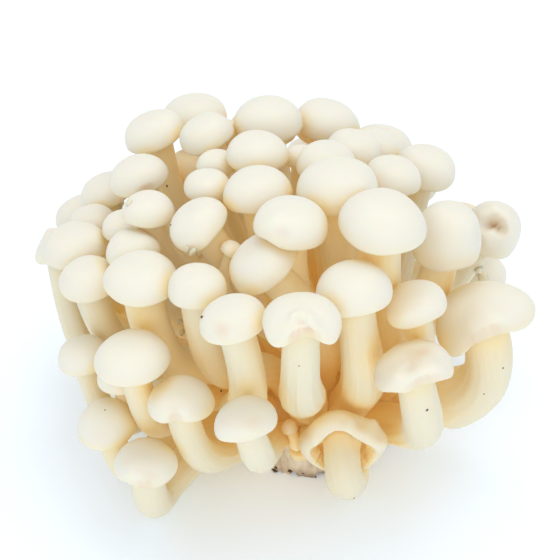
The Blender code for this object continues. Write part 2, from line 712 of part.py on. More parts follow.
def build():
    """Clears the scene and builds the whole bunch."""
    for thing in list(bpy.data.objects):
        bpy.data.objects.remove(thing)
    collection = bpy.data.collections.new("shimeji_bunch")
    bpy.context.scene.collection.children.link(collection)
    build_butt(collection)
    mushrooms = CROWN + UPPER + MIDDLE + RIGHT + LEFT + LOW + hidden_mushrooms()
    bunch = Bunch(mushrooms)
    stems = bunch.push_apart()
    fronts, rights = bunch.cap_frames()
    made = {}
    for i, m in enumerate(mushrooms):
        mesh = mushroom_mesh(m.node, m, bunch.place[i], bunch.axis[i], fronts[i], rights[i],
                             stems[i], bunch.radius[i])
        material = material_for(m.node, FLESH_COLOUR, FLESH_ROUGHNESS)
        if m.node in made:
            fuse(made[m.node], finish_object(mesh, "twin", material, collection))
        else:
            made[m.node] = finish_object(mesh, m.node, material, collection)


build()
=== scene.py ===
"""The looks of a bunch of white shimeji mushrooms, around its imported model.

The bunch is grown as the model's source grows it, from one table of caps read off the
picture, so every mushroom stands where its node does or within a few millimetres of it.
Each is then given its real skin: a fibrous stem, a ring of gills and a soft, uneven cap.

Lengths are in millimetres and angles in degrees until a mesh is made, in metres.
X runs right, Y away from the viewer and Z up.
"""
from dataclasses import dataclass

import bpy
import numpy as np
from mathutils.bvhtree import BVHTree
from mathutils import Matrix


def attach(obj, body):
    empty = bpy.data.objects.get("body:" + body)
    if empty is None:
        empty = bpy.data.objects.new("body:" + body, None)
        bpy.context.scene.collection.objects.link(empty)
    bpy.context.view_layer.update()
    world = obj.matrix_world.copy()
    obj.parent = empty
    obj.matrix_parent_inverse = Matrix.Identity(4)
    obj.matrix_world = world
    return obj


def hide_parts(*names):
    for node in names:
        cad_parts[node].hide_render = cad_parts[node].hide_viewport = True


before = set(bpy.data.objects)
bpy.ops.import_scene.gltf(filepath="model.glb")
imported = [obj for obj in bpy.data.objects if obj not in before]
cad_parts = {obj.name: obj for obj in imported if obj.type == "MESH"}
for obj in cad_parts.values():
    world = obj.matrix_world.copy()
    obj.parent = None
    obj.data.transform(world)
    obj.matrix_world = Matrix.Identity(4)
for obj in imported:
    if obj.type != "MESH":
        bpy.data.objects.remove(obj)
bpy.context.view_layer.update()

# Camera: the bunch is seen from the front and somewhat above, through a long lens held
# close, so that caps at the back look a little smaller than those at the front.
MM = 0.001
VIEW_CENTRE = np.array((-9.5, 0.0, 43.0))
VIEW_DISTANCE = 390.0
VIEW_ELEVATION = 35.0
LENS = 100.0
SENSOR = 36.0
VIEW_SPREAD = SENSOR / LENS
PICTURE_SIDE = 560


def view_axes():
    """Eye, and the view's right, up and forward directions."""
    tilt = np.radians(VIEW_ELEVATION)
    forward = np.array((0.0, np.cos(tilt), -np.sin(tilt)))
    up = np.array((0.0, np.sin(tilt), np.cos(tilt)))
    return VIEW_CENTRE - VIEW_DISTANCE * forward, np.array((1.0, 0.0, 0.0)), up, forward


lens = bpy.data.cameras.new("camera")
lens.lens = LENS
lens.sensor_width = SENSOR
camera = bpy.data.objects.new("camera", lens)
camera.location = view_axes()[0] * MM
camera.rotation_euler = (np.radians(90.0 - VIEW_ELEVATION), 0.0, 0.0)
bpy.context.scene.collection.objects.link(camera)
bpy.context.scene.camera = camera

# Mushrooms: dozens of young ones, each a stem and a cap of firm white flesh grown in one, crowd
# out of one butt.  The table says where each cap shows in the picture, and the rules below it
# are the model's own: every cap pushes its neighbours until all have room.
BUTT_RADIUS = 26.0
BUTT_CUT_RADIUS = 26.0
BUTT_WAIST = 8.0
BUTT_HEIGHT = 24.0

# Dome that the middles of the caps lie on
DOME_CENTRE = np.array((-8.0, -2.0, 37.0))
DOME_RADII = np.array((56.0, 53.0, 42.0))

# Shares of half a cap's width: how far its middle lies over its widest ring, how far the
# stem's end lies under that ring, and how far caps turn outwards round the bunch
CAP_MIDDLE = 0.13
NECK_DROP = 0.13
CAP_SPREAD = 0.12

# Balls that stand for a cap while it grows, in half widths: reach, height and radius of
# the rim's balls, and the height and radius of the middle one
RIM_BALLS = 14
RIM_REACH = 0.60
RIM_HEIGHT = 0.02
RIM_BALL = 0.43
MIDDLE_BALL = (0.07, 0.54)

# Clearances: between mushrooms, over the butt and over the table, and how far a cap
# reaches below its place, as a share of half its width
GAP = 0.85
FOOT_GAP = 0.4
TABLE_GAP = 2.5
LOW_CAP = 0.6

# Stem: points along it, how far it first leaves the butt as shares of its length, where it
# is widest and where it tapers, and the common widths
STEM_POINTS = 18
STEM_START = 0.3
STEM_START_SAG = 0.25
BELLY_AT = 0.3
TAPER_AT = 0.6
NECK_SHARE = 0.25
BELLY_SHARE = 1.12
FOOT_LOWERING = 1.15

# Growth: rounds of pushing apart, those that hold the caps at their places, rounds from
# one search for close balls to the next, and how close is close
ROUNDS = 520
HELD_ROUNDS = 400
SEARCH_ROUNDS = 10
CLOSE = 3.0

# Shares of a shove that are followed in a round, and of a drift that is drawn back
GIVE_ALONG = 0.8
GIVE_ASIDE = 0.25
GIVE_HIDDEN = 0.6
GIVE_ORDER = 0.02
GIVE_FOOT = 1.2
GIVE_STEM = 0.7
GIVE_CLEAR = 0.5
HOLD_ASIDE = 0.10
HOLD_ALONG = 0.012
HOLD_HIDDEN = 0.01
BEND_SMOOTHING = 0.35
BEND_RELAXING = 0.995


@dataclass
class Mushroom:
    """One mushroom, read off the picture.

    at is the cap's middle in picture pixels, or for a hidden one its bearing from the
    front and its height angle on the dome.  sunk moves it away from the viewer, lean
    tips the cap to the right and nod tips it towards the viewer.  neck, belly and foot
    are radii of the stem, sag is how far it hangs before it turns to the butt, and
    foot_at is the picture point where it meets the butt.  A lobe is a bearing on the
    cap, its spread, how far the margin reaches there and how far it drops.
    """
    node: str
    at: tuple
    cap: float
    lean: float = 0.0
    nod: float = 4.0
    sunk: float = 0.0
    neck: float = 0.0
    belly: float = 0.0
    foot: float = 3.2
    tall: float = 1.0
    sag: float = 0.45
    over_butt: float = 0.0
    foot_at: tuple = ()
    hidden: bool = False
    lobes: tuple = ()

    def __post_init__(self):
        self.neck = self.neck or NECK_SHARE * self.cap
        self.belly = self.belly or BELLY_SHARE * self.neck


CROWN = [
    Mushroom("crown_1", (194, 117), 18.0, lean=-6, sunk=9, neck=3.5, tall=0.9),
    Mushroom("crown_2", (154, 132), 15.8, lean=-16),
    Mushroom("crown_3", (208, 135), 14.0, lean=-18, tall=1.1),
    Mushroom("crown_4", (222, 134), 11.0, sunk=9),
    Mushroom("crown_5", (267, 121), 17.6),
    Mushroom("crown_6", (325, 121), 16.6, lean=4),
    Mushroom("crown_7", (375, 147), 13.5, lean=8, sunk=6),
    Mushroom("crown_8", (353, 150), 14.0, lean=4),
]
UPPER = [
    Mushroom("upper_1", (328, 163), 14.7, sunk=3),
    Mushroom("upper_2", (335, 188), 19.0, lean=-6),
    Mushroom("upper_3", (393, 176), 14.0, lean=6),
    Mushroom("upper_4", (426, 168), 15.5, lean=8, neck=2.9, tall=1.1),
    Mushroom("upper_5", (301, 157), 9.0, sunk=4, foot=2.2),
    Mushroom("upper_6", (257, 154), 14.9),
    Mushroom("upper_7", (217, 162), 9.8, sunk=5, foot=2.4),
    Mushroom("upper_8", (208, 185), 11.2, sunk=2, foot=2.6),
    Mushroom("upper_9", (260, 190), 16.2, lean=-5),
]
MIDDLE = [
    Mushroom("middle_1", (380, 222), 19.3, tall=1.1, lean=2),
    Mushroom("middle_2", (199, 222), 14.6, lean=-26, lobes=((350, 30, 0.08, 0.15),)),
    Mushroom("double_middle", (293, 222), 16.6, lean=6, sunk=2),
    Mushroom("double_middle", (258, 262), 17.2, lean=-32, neck=4.2),
    Mushroom("tiny", (230, 249), 5.4, lean=24, neck=1.3, foot=1.4, sunk=5),
    Mushroom("middle_3", (195, 286), 13.4, tall=1.15, neck=4.1, belly=4.5, sag=0.85),
    Mushroom("middle_4", (231, 315), 14.9, lean=-10, neck=4.0, belly=5.2, foot=4.0, sag=0.7,
             foot_at=(262, 410)),
    Mushroom("middle_5", (302, 318), 17.2, neck=3.8, belly=5.5, foot=4.6, sunk=-3, foot_at=(308, 409),
             lobes=((0, 24, -0.16, 0.0), (318, 20, 0.06, 0.22), (48, 20, 0.08, 0.16))),
    Mushroom("middle_6", (356, 284), 16.8, lean=-8, neck=4.3, belly=5.7, foot=5.0, sunk=-6,
             foot_at=(348, 404)),
    Mushroom("middle_7", (416, 301), 13.6, lean=-10, neck=3.3, sunk=-2, lobes=((300, 32, 0.1, 0.16),)),
]
RIGHT = [
    Mushroom("right_1", (412, 364), 18.1, lean=-13, neck=4.2, belly=5.2, foot=5.0, sag=0.5,
             foot_at=(380, 422), lobes=((2, 18, -0.1, -0.05),)),
    Mushroom("right_2", (487, 313), 22.5, lean=-22, nod=2, neck=5.4, belly=7.5, sag=0.6,
             tall=0.86, foot_at=(402, 404), lobes=((90, 36, 0.14, -0.06), (290, 34, 0.02, 0.16))),
    Mushroom("right_3", (449, 239), 16.4, lean=4, neck=4.2, tall=1.25, sag=0.8),
    Mushroom("right_3", (495, 235), 13.0, lean=20, neck=3.0, sunk=1, tall=1.25, sag=0.8),
]
LEFT = [
    Mushroom("double_left", (138, 176), 14.9, lean=-8),
    Mushroom("double_left", (152, 209), 11.4, lean=4, neck=3.4),
    Mushroom("left_1", (98, 193), 11.6, lean=-12, sunk=4, sag=0.7),
    Mushroom("left_2", (92, 222), 12.5, lean=-2, sunk=3, sag=0.8),
    Mushroom("left_3", (77, 245), 15.4, lean=-2, sag=0.95),
    Mushroom("left_4", (51, 245), 9.6, lean=4, sag=0.9, neck=3.2,
             lobes=((270, 40, 0.2, 0.5),)),
    Mushroom("left_5", (127, 228), 11.4, sunk=3),
    Mushroom("left_6", (133, 246), 12.8, sunk=1),
    Mushroom("left_7", (88, 280), 14.2, lean=-2, sag=1.0),
    Mushroom("left_8", (140, 277), 17.2, neck=4.6, belly=4.8, sag=0.85),
    Mushroom("left_9", (80, 357), 12.4, lean=-2, sag=0.85, tall=1.2, neck=3.0),
]
LOW = [
    Mushroom("low_1", (132, 357), 17.9, neck=3.4, belly=3.7, sag=0.8),
    Mushroom("low_2", (114, 374), 12.0, sag=0.7, sunk=7),
    Mushroom("low_3", (110, 421), 14.0, lean=-4, sag=0.75, neck=3.4, sunk=-3, tall=1.3),
    Mushroom("low_4", (150, 457), 14.6, lean=3, sag=0.8, neck=4.0, belly=4.3, sunk=-16),
    Mushroom("low_5", (178, 400), 15.6, sag=0.45, neck=3.7, belly=3.9, foot_at=(254, 437),
             lobes=((354, 16, -0.1, -0.04),)),
    Mushroom("low_6", (245, 415), 14.2, lean=-12, sag=0.42, neck=3.4, belly=3.8, foot_at=(282, 434)),
    Mushroom("front", (343, 440), 20.6, nod=-74, neck=4.4, belly=4.8, foot=4.0, sag=0.9,
             over_butt=9.0, tall=1.15, foot_at=(345, 458),
             lobes=((20, 28, -0.18, 0.0), (64, 20, 0.1, 0.06))),
    Mushroom("pin_1", (287, 430), 4.0, neck=1.3, foot=1.3, over_butt=5.5, tall=1.8),
    Mushroom("pin_2", (303, 433), 3.6, neck=1.2, foot=1.4, over_butt=5.4, tall=1.4,
             foot_at=(295, 449)),
]

# Side that the view doesn't show: height angle of each row, how many stand in it, how
# wide a sector it fills and its sag.  Neighbours in a row grow in twos from one foot.
HIDDEN_ROWS = ((40.0, 4, 96.0, 0.45), (14.0, 6, 138.0, 0.45), (-7.0, 6, 150.0, 0.4),
               (-24.0, 4, 152.0, 0.65))
HIDDEN_CAPS = (14.0, 18.5)
HIDDEN_NECK = 0.21
HIDDEN_FOOT = 3.0
HIDDEN_SCATTER = 3.0
HIDDEN_SEED = 7


def unit(vectors):
    """Vectors scaled to length one."""
    return vectors / np.linalg.norm(vectors, axis=-1, keepdims=True)


def hidden_mushrooms():
    """The mushrooms behind, by rows, with a seeded scatter."""
    chance = np.random.default_rng(HIDDEN_SEED)
    grown = []
    for height, count, sector, sag in HIDDEN_ROWS:
        for place in range(count):
            bearing = 180.0 + sector * ((place + 0.5) / count - 0.5)
            bearing += chance.uniform(-1, 1) * HIDDEN_SCATTER
            angle = height + chance.uniform(-1, 1) * HIDDEN_SCATTER
            width = chance.uniform(*HIDDEN_CAPS)
            node = f"back_{len(grown) // 2 + 1}"
            grown.append(Mushroom(node, (bearing, angle), width, hidden=True, nod=0.0,
                                  neck=HIDDEN_NECK * width, foot=HIDDEN_FOOT, sag=sag))
    return grown


def cast(at, centre, radii, sunk):
    """Where the line of sight through a picture point meets an ellipsoid, or passes
    nearest to it, moved on by sunk."""
    eye, right, up, forward = view_axes()
    across = (at[0] / PICTURE_SIDE - 0.5) * VIEW_SPREAD
    down = (at[1] / PICTURE_SIDE - 0.5) * VIEW_SPREAD
    sight = unit(forward + across * right - down * up)
    start = (eye - centre) / radii
    step = sight / radii
    square, half = step @ step, start @ step
    room = half * half - square * (start @ start - 1.0)
    reach = (-half - np.sqrt(max(room, 0.0))) / square
    return eye + (reach + sunk) * sight, sight


def on_dome(bearing, height):
    """A point on the dome: bearing from the front towards the right, height angle."""
    turn, rise = np.radians((bearing, height))
    flat = np.cos(rise)
    return DOME_CENTRE + DOME_RADII * (flat * np.sin(turn), -flat * np.cos(turn), np.sin(rise))


def butt_shell(over=0.0):
    """Centre and half-axes of the butt's domed top, grown outwards by over."""
    centre = np.array((0.0, 0.0, BUTT_WAIST))
    rise = BUTT_HEIGHT - BUTT_WAIST
    return centre, np.array((BUTT_RADIUS, BUTT_RADIUS, rise)) + over


def cap_axis(mushroom, place):
    """Way that the cap faces: up, a little outwards, then leaned and nodded."""
    outward = unit((place - DOME_CENTRE) / DOME_RADII)
    axis = np.array((0.0, 0.0, 1.0)) + CAP_SPREAD * outward * (1.0, 1.0, 0.0)
    if mushroom.hidden:
        return unit(axis)
    lean, nod = np.radians((mushroom.lean, mushroom.nod))
    side, front, rise = axis
    leaned = rise * np.cos(lean) - side * np.sin(lean)
    side = side * np.cos(lean) + rise * np.sin(lean)
    nodded = leaned * np.cos(nod) + front * np.sin(nod)
    front = front * np.cos(nod) - leaned * np.sin(nod)
    return unit(np.array((side, front, nodded)))


class Bunch:
    """The places of all caps and stems, grown and then pushed apart."""

    def __init__(self, mushrooms):
        self.mushrooms = mushrooms
        self.half = np.array([m.cap for m in mushrooms]) / 2
        self.seen = np.array([not m.hidden for m in mushrooms])
        places, sights = [], []
        for m in mushrooms:
            if m.hidden:
                places.append(on_dome(*m.at))
                sights.append(np.zeros(3))
                continue
            shell = butt_shell(m.over_butt) if m.over_butt else (DOME_CENTRE, DOME_RADII)
            place, sight = cast(m.at, *shell, m.sunk)
            places.append(place)
            sights.append(sight)
        self.place = np.array(places)
        self.home = self.place.copy()
        self.sight = np.array(sights)
        self.axis = np.array([cap_axis(m, p) for m, p in zip(mushrooms, places)])
        self.foot = self.first_feet()
        self.rooted = np.array([bool(m.foot_at) for m in mushrooms])
        self.bend = np.zeros((len(mushrooms), STEM_POINTS, 3))
        self.radius = np.array([self.stem_radii(m) for m in mushrooms])
        self.balls = np.array([self.cap_balls(m) for m in mushrooms])
        names = sorted({m.node for m in mushrooms})
        self.group = np.array([names.index(m.node) for m in mushrooms])

    def first_feet(self):
        """Each foot on the butt, under its own cap; grown-together ones share one."""
        centre, radii = butt_shell(FOOT_GAP)
        way = unit((self.place - centre) / (1.0, 1.0, FOOT_LOWERING))
        way[:, 2] = np.maximum(way[:, 2], 0.0)
        nodes = [m.node for m in self.mushrooms]
        for node in set(nodes):
            same = [i for i, name in enumerate(nodes) if name == node]
            way[same] = way[same].mean(axis=0)
        feet = centre + unit(way) * radii
        for i, m in enumerate(self.mushrooms):
            if m.foot_at:
                feet[i] = cast(m.foot_at, centre, radii, 0.0)[0]
                feet[i, 2] = max(feet[i, 2], BUTT_WAIST)
        return feet

    @staticmethod
    def stem_radii(mushroom):
        """Radii from foot to neck: swelling to the belly, then tapering."""
        along = np.linspace(0.0, 1.0, STEM_POINTS)
        taper = 0.5 * (mushroom.belly + mushroom.neck)
        return np.interp(along, (0.0, BELLY_AT, TAPER_AT, 1.0),
                         (mushroom.foot, mushroom.belly, taper, mushroom.neck))

    @staticmethod
    def cap_balls(mushroom):
        """Balls that fill a cap, as across, deep, high and radius in half widths."""
        turn = np.linspace(0.0, 2 * np.pi, RIM_BALLS, endpoint=False)
        rim = [(RIM_REACH * np.sin(t), RIM_REACH * np.cos(t), RIM_HEIGHT, RIM_BALL) for t in turn]
        middle = (0.0, 0.0, MIDDLE_BALL[0], MIDDLE_BALL[1] * mushroom.tall)
        return np.vstack((middle, rim)) * mushroom.cap / 2

    def necks(self):
        """Points where the stems enter the caps."""
        return self.place - self.axis * (self.half * (CAP_MIDDLE + NECK_DROP))[:, None]

    def rest_stems(self):
        """Stems as smooth curves from foot to neck, square to the butt and to the cap."""
        centre, radii = butt_shell(FOOT_GAP)
        necks = self.necks()
        outward = unit((self.foot - centre) / radii ** 2)
        length = np.linalg.norm(necks - self.foot, axis=1)[:, None]
        sag = np.array([m.sag for m in self.mushrooms])[:, None]
        early = self.foot + outward * (STEM_START + STEM_START_SAG * sag) * length
        late = necks - self.axis * sag * length
        t = np.linspace(0.0, 1.0, STEM_POINTS)[:, None]
        weights = ((1 - t) ** 3, 3 * t * (1 - t) ** 2, 3 * t * t * (1 - t), t ** 3)
        ends = (self.foot, early, late, necks)
        return sum(w[None] * e[:, None] for w, e in zip(weights, ends))

    def cap_frames(self):
        """For each cap, its front and right directions, square to its axis."""
        ahead = np.array((0.0, -1.0, 0.0))
        front = unit(ahead - self.axis * (self.axis @ ahead)[:, None])
        return front, np.cross(self.axis, front)

    def all_balls(self, stems):
        """Centres and radii of the balls that stand for stems and caps."""
        front, right = self.cap_frames()
        offset = (self.balls[..., 0:1] * right[:, None] + self.balls[..., 1:2] * front[:, None]
                  + self.balls[..., 2:3] * self.axis[:, None])
        caps = self.place[:, None] + offset
        centres = np.concatenate((stems, caps), axis=1)
        radii = np.concatenate((self.radius, self.balls[..., 3]), axis=1)
        return centres, radii

    def near_pairs(self, centres, radii):
        """Pairs of balls of different mushrooms that are close enough to matter."""
        count, per = radii.shape
        owner = np.repeat(np.arange(count), per)
        part = np.tile(np.arange(per), count)
        flat, size = centres.reshape(-1, 3), radii.reshape(-1)
        first, second = [], []
        for i in range(count):
            mine = slice(i * per, (i + 1) * per)
            rest = slice((i + 1) * per, None)
            apart = np.linalg.norm(flat[mine, None] - flat[None, rest], axis=2)
            close = apart < size[mine, None] + size[None, rest] + CLOSE
            a, b = np.nonzero(close)
            first.append(a + i * per)
            second.append(b + (i + 1) * per)
        first, second = np.concatenate(first), np.concatenate(second)
        same = self.group[owner[first]] == self.group[owner[second]]
        return first[~same], second[~same], owner, part

    def push_apart(self):
        """Moves caps along the lines of sight, feet over the butt and stems sideways."""
        for turn in range(ROUNDS):
            rest = self.rest_stems()
            stems = rest + self.bend
            centres, radii = self.all_balls(stems)
            if turn % SEARCH_ROUNDS == 0:
                first, second, owner, part = self.near_pairs(centres, radii)
            flat, size = centres.reshape(-1, 3), radii.reshape(-1)
            between = flat[first] - flat[second]
            apart = np.linalg.norm(between, axis=1) + 1e-9
            deep = np.maximum(size[first] + size[second] + GAP - apart, 0.0)
            shove = between * (0.5 * deep / apart)[:, None]
            total = np.zeros_like(flat)
            np.add.at(total, first, shove)
            np.add.at(total, second, -shove)
            touched = np.zeros(len(flat))
            np.add.at(touched, first, deep > 0)
            np.add.at(touched, second, deep > 0)
            total /= np.maximum(touched, 1.0)[:, None]
            total = total.reshape(centres.shape)
            hold = 1.0 if turn < HELD_ROUNDS else 0.0
            self.move_caps(total[:, STEM_POINTS:], first, second, deep, owner, part, hold)
            self.move_feet(total[:, :3])
            self.bend += GIVE_STEM * total[:, :STEM_POINTS]
            self.clear_butt_and_table(rest)
            self.smooth_bend()
        return self.rest_stems() + self.bend

    def move_caps(self, shove, first, second, deep, owner, part, hold):
        """A hidden cap gives way; a seen one slides along its line of sight.

        hold draws each back to its own place, until the last rounds let go.
        """
        strength = np.linalg.norm(shove, axis=2)
        busy = np.maximum((strength > 0).sum(axis=1), 1)
        move = shove.sum(axis=1) / np.sqrt(busy)[:, None]
        self.place[~self.seen] += GIVE_HIDDEN * move[~self.seen]
        along = (move * self.sight).sum(axis=1)[:, None] * self.sight
        aside = move - along
        self.place[self.seen] += (GIVE_ALONG * along + GIVE_ASIDE * aside)[self.seen]
        caps = (part[first] >= STEM_POINTS) & (part[second] >= STEM_POINTS) & (deep > 0)
        a, b = owner[first][caps], owner[second][caps]
        both = self.seen[a] & self.seen[b]
        a, b, depth = a[both], b[both], deep[caps][both]
        order = np.sign(((self.place[a] - self.place[b]) * self.sight[a]).sum(axis=1))
        gather = np.zeros(len(self.place))
        np.add.at(gather, a, order * depth)
        np.add.at(gather, b, -order * depth)
        self.place += GIVE_ORDER * gather[:, None] * self.sight
        drift = self.place - self.home
        ahead = (drift * self.sight).sum(axis=1)[:, None] * self.sight
        side = drift - ahead
        self.place[self.seen] -= hold * (HOLD_ASIDE * side + HOLD_ALONG * ahead)[self.seen]
        self.place[~self.seen] -= hold * HOLD_HIDDEN * drift[~self.seen]

    def move_feet(self, shove):
        """Feet slide over the butt; those grown together stay together."""
        centre, radii = butt_shell(FOOT_GAP)
        move = shove.mean(axis=1)
        for group in range(self.group.max() + 1):
            same = self.group == group
            move[same] = move[same].mean(axis=0)
        foot = self.foot + GIVE_FOOT * move
        way = (foot - centre) / radii
        way[:, 2] = np.maximum(way[:, 2], 0.0)
        feet = centre + unit(way) * radii
        self.foot = np.where(self.rooted[:, None], self.foot, feet)

    def clear_butt_and_table(self, rest):
        """Stems stay outside the butt and above the table, and so do caps."""
        centre, radii = butt_shell()
        stems = rest + self.bend
        reach = self.radius[:, 2:] + GAP
        way = stems[:, 2:] - centre
        inside = np.linalg.norm(way / (radii + reach[..., None]), axis=2)
        out = way * (1.0 / np.maximum(inside, 1e-6) - 1.0)[..., None]
        self.bend[:, 2:] += GIVE_CLEAR * out * (inside < 1.0)[..., None]
        low = TABLE_GAP + self.radius - stems[..., 2]
        self.bend[..., 2] += GIVE_CLEAR * np.maximum(low, 0.0)
        low_cap = TABLE_GAP + LOW_CAP * self.half - self.place[:, 2]
        self.place[:, 2] += GIVE_CLEAR * np.maximum(low_cap, 0.0)

    def smooth_bend(self):
        """Spreads each stem's bend along it and holds its ends."""
        bend = self.bend
        bend[:, 0] = 0.0
        bend[:, -1] = 0.0
        inner = 0.5 * (bend[:, :-2] + bend[:, 2:])
        bend[:, 1:-1] += BEND_SMOOTHING * (inner - bend[:, 1:-1])
        bend *= BEND_RELAXING


mushrooms = CROWN + UPPER + MIDDLE + RIGHT + LEFT + LOW + hidden_mushrooms()
bunch = Bunch(mushrooms)
stem_lines = bunch.push_apart()
cap_fronts = bunch.cap_frames()[0]
ball_centres, ball_radii = bunch.all_balls(stem_lines)

# Crowding, for painted shade and a painted glow: where mushrooms crowd, the flesh is painted
# gold and ochre and given a warm glow, in place of the shade and of the light passed from stem
# to stem in the gaps.  A grid of the grown balls is blurred at two widths, and every skin reads
# from it how much flesh stands around it.
CROWD_STEP = 1.5
CROWD_ROOM = 15.0
CROWD_NEAR = 2.2
CROWD_WIDE = 6.5


def filled_grid(centres, radii, low, shape):
    """Grid of ones inside the balls and the butt's dome, and zeros outside."""
    grid = np.zeros(shape, np.float32)
    axes = [low[k] + CROWD_STEP * np.arange(shape[k]) for k in range(3)]
    dome, reach = butt_shell()
    shells = [(centre, np.full(3, radius)) for centre, radius in zip(centres, radii)]
    for centre, half in shells + [(dome, reach)]:
        first = np.maximum(np.ceil((centre - half - low) / CROWD_STEP).astype(int), 0)
        last = np.floor((centre + half - low) / CROWD_STEP).astype(int) + 1
        x, y, z = (((axes[k][first[k]:last[k]] - centre[k]) / half[k]) ** 2 for k in range(3))
        inside = x[:, None, None] + y[None, :, None] + z[None, None, :] < 1.0
        block = grid[first[0]:last[0], first[1]:last[1], first[2]:last[2]]
        np.maximum(block, inside, out=block)
    return grid


def blurred(grid, width):
    """The grid blurred by a bell curve of that width, through its Fourier transform."""
    waves = np.fft.rfftn(grid)
    for k in range(3):
        turns = np.fft.fftfreq(grid.shape[k]) if k < 2 else np.fft.rfftfreq(grid.shape[k])
        falloff = np.exp(-2.0 * (np.pi * turns * width / CROWD_STEP) ** 2)
        waves *= falloff.reshape([-1 if j == k else 1 for j in range(3)])
    return np.fft.irfftn(waves, grid.shape)


def read_grid(grid, low, points):
    """Values of a grid at points, mixed from the eight corners round each."""
    place = np.clip((points - low) / CROWD_STEP, 0.0, np.array(grid.shape) - 1.001)
    cell = place.astype(int)
    part = place - cell
    total = np.zeros(points.shape[:-1])
    for corner in np.ndindex(2, 2, 2):
        share = np.prod(np.where(corner, part, 1.0 - part), axis=-1)
        x, y, z = np.moveaxis(cell + corner, -1, 0)
        total += share * grid[x, y, z]
    return total


flesh_balls = ball_centres.reshape(-1, 3)
crowd_low = flesh_balls.min(axis=0) - CROWD_ROOM
crowd_shape = np.ceil((flesh_balls.max(axis=0) + CROWD_ROOM - crowd_low) / CROWD_STEP).astype(int)
flesh_grid = filled_grid(flesh_balls, ball_radii.ravel(), crowd_low, crowd_shape)
painted_shade_near_grid = blurred(flesh_grid, CROWD_NEAR)
painted_shade_and_glow_grid = blurred(flesh_grid, CROWD_WIDE)

# Skin of a mushroom: one closed grid of rings by bearings, from a foot buried in the butt, up
# the stem, out under the gills, round the inrolled margin and up to the apex.
TURN = 2 * np.pi
ANY_START = 7.0
SIDES = 96
HIDDEN_SIDES = 56
STEM_STEPS = 32
UNDER_STEPS = 20
DOME_STEPS = 17
SKIN_SEED = 100

# Cap outline in half widths: how far it rises and rolls under, the power that rounds its dome,
# how deep the gills lie above the lip, how pointed the pleats are and how far out the lip is;
# then the height over which the painted shade on the low rim fades, and the power it fades by
DOME_RISE = 0.71
DOME_ROUND = 0.74
MARGIN_ROLL = 0.11
GILL_HOLLOW = 0.10
GILL_FOLD = 0.030
LIP_REACH = 0.84
PAINTED_RIM_SHADE_HEIGHT = 0.35
PAINTED_RIM_SHADE_FALL = 1.5

# Share of its tip towards or away from the viewer that a cap keeps: a cap levels itself
CAP_TIP = 0.22

# Unevenness: share by which caps are oval and their margins wave, and lumps in millimetres
CAP_OVAL = 0.03
MARGIN_WAVE = 0.035
LUMP_HEIGHT = 0.32
LUMP_LENGTH = 11.0
LUMP_WAVES = 7
LUMP_STRETCH = (0.7, 1.5)

# Stem: depths of its buried rings and the share that the deepest keeps of its radius, ridges a
# turn and their height as a share of the radius, how far round they drift and how they fade,
# its oval and swelling, and how fast all of this dies out towards the cap
FOOT_DEPTHS = (4.5, 3.0, 1.5)
FOOT_TAPER = 0.55
RIDGES = ((5, 0.020), (9, 0.014), (14, 0.009), (23, 0.006))
RIDGE_DRIFT = 0.6
RIDGE_FADE = 0.45
RIDGE_FADES = (0.8, 2.0)
STEM_OVAL = 0.035
STEM_OVALS = (0.3, 1.0)
STEM_SWELL = 0.03
STEM_SWELLS = (1.2, 2.6)
SMOOTH_TOP = 6.0

# Torn margins: how softly a tear's edge falls off, the least of it that counts, its ragged
# waves as waves a turn, share of its bearing that they start at and height, and its stain;
# the waves of a frayed lip and how wide a band they take; and the depth from which a mark
# has steep sides
TEAR_SOFTNESS = 0.015
TEAR_FAINT = 0.02
TEAR_RAGS = ((23, 1, 0.10), (41, 0, 0.08), (67, 0, 0.05))
TEAR_STAIN = 0.55
FRAYS = (7, 13, 23, 37, 61)
FRAY_BAND = 0.07
DEEP_MARK = 1.5


@dataclass
class Form:
    """What sets one cap apart: its outline as above, how finely it is divided, its size,
    the share of its tip that it keeps, its shift in millimetres, and how frayed its lip and
    how lumpy its skin is.

    An arch is a bearing, a spread and how far the margin rises there, in half widths.  A
    tear is a bearing, half its width, how much of the margin is gone, in half widths, and
    how squarely it ends.  A mark is a picture point, a size, how deep it is pressed in and
    how strongly it is stained.
    """
    lip: float = LIP_REACH
    roll: float = MARGIN_ROLL
    hollow: float = GILL_HOLLOW
    rise: float = DOME_RISE
    fold: float = GILL_FOLD
    sides: int = SIDES
    size: float = 1.0
    tip: float = CAP_TIP
    shift: tuple = (0.0, 0.0, 0.0)
    frill: float = 0.0
    lumpy: float = 1.0
    arches: tuple = ()
    tears: tuple = ()
    marks: tuple = ()


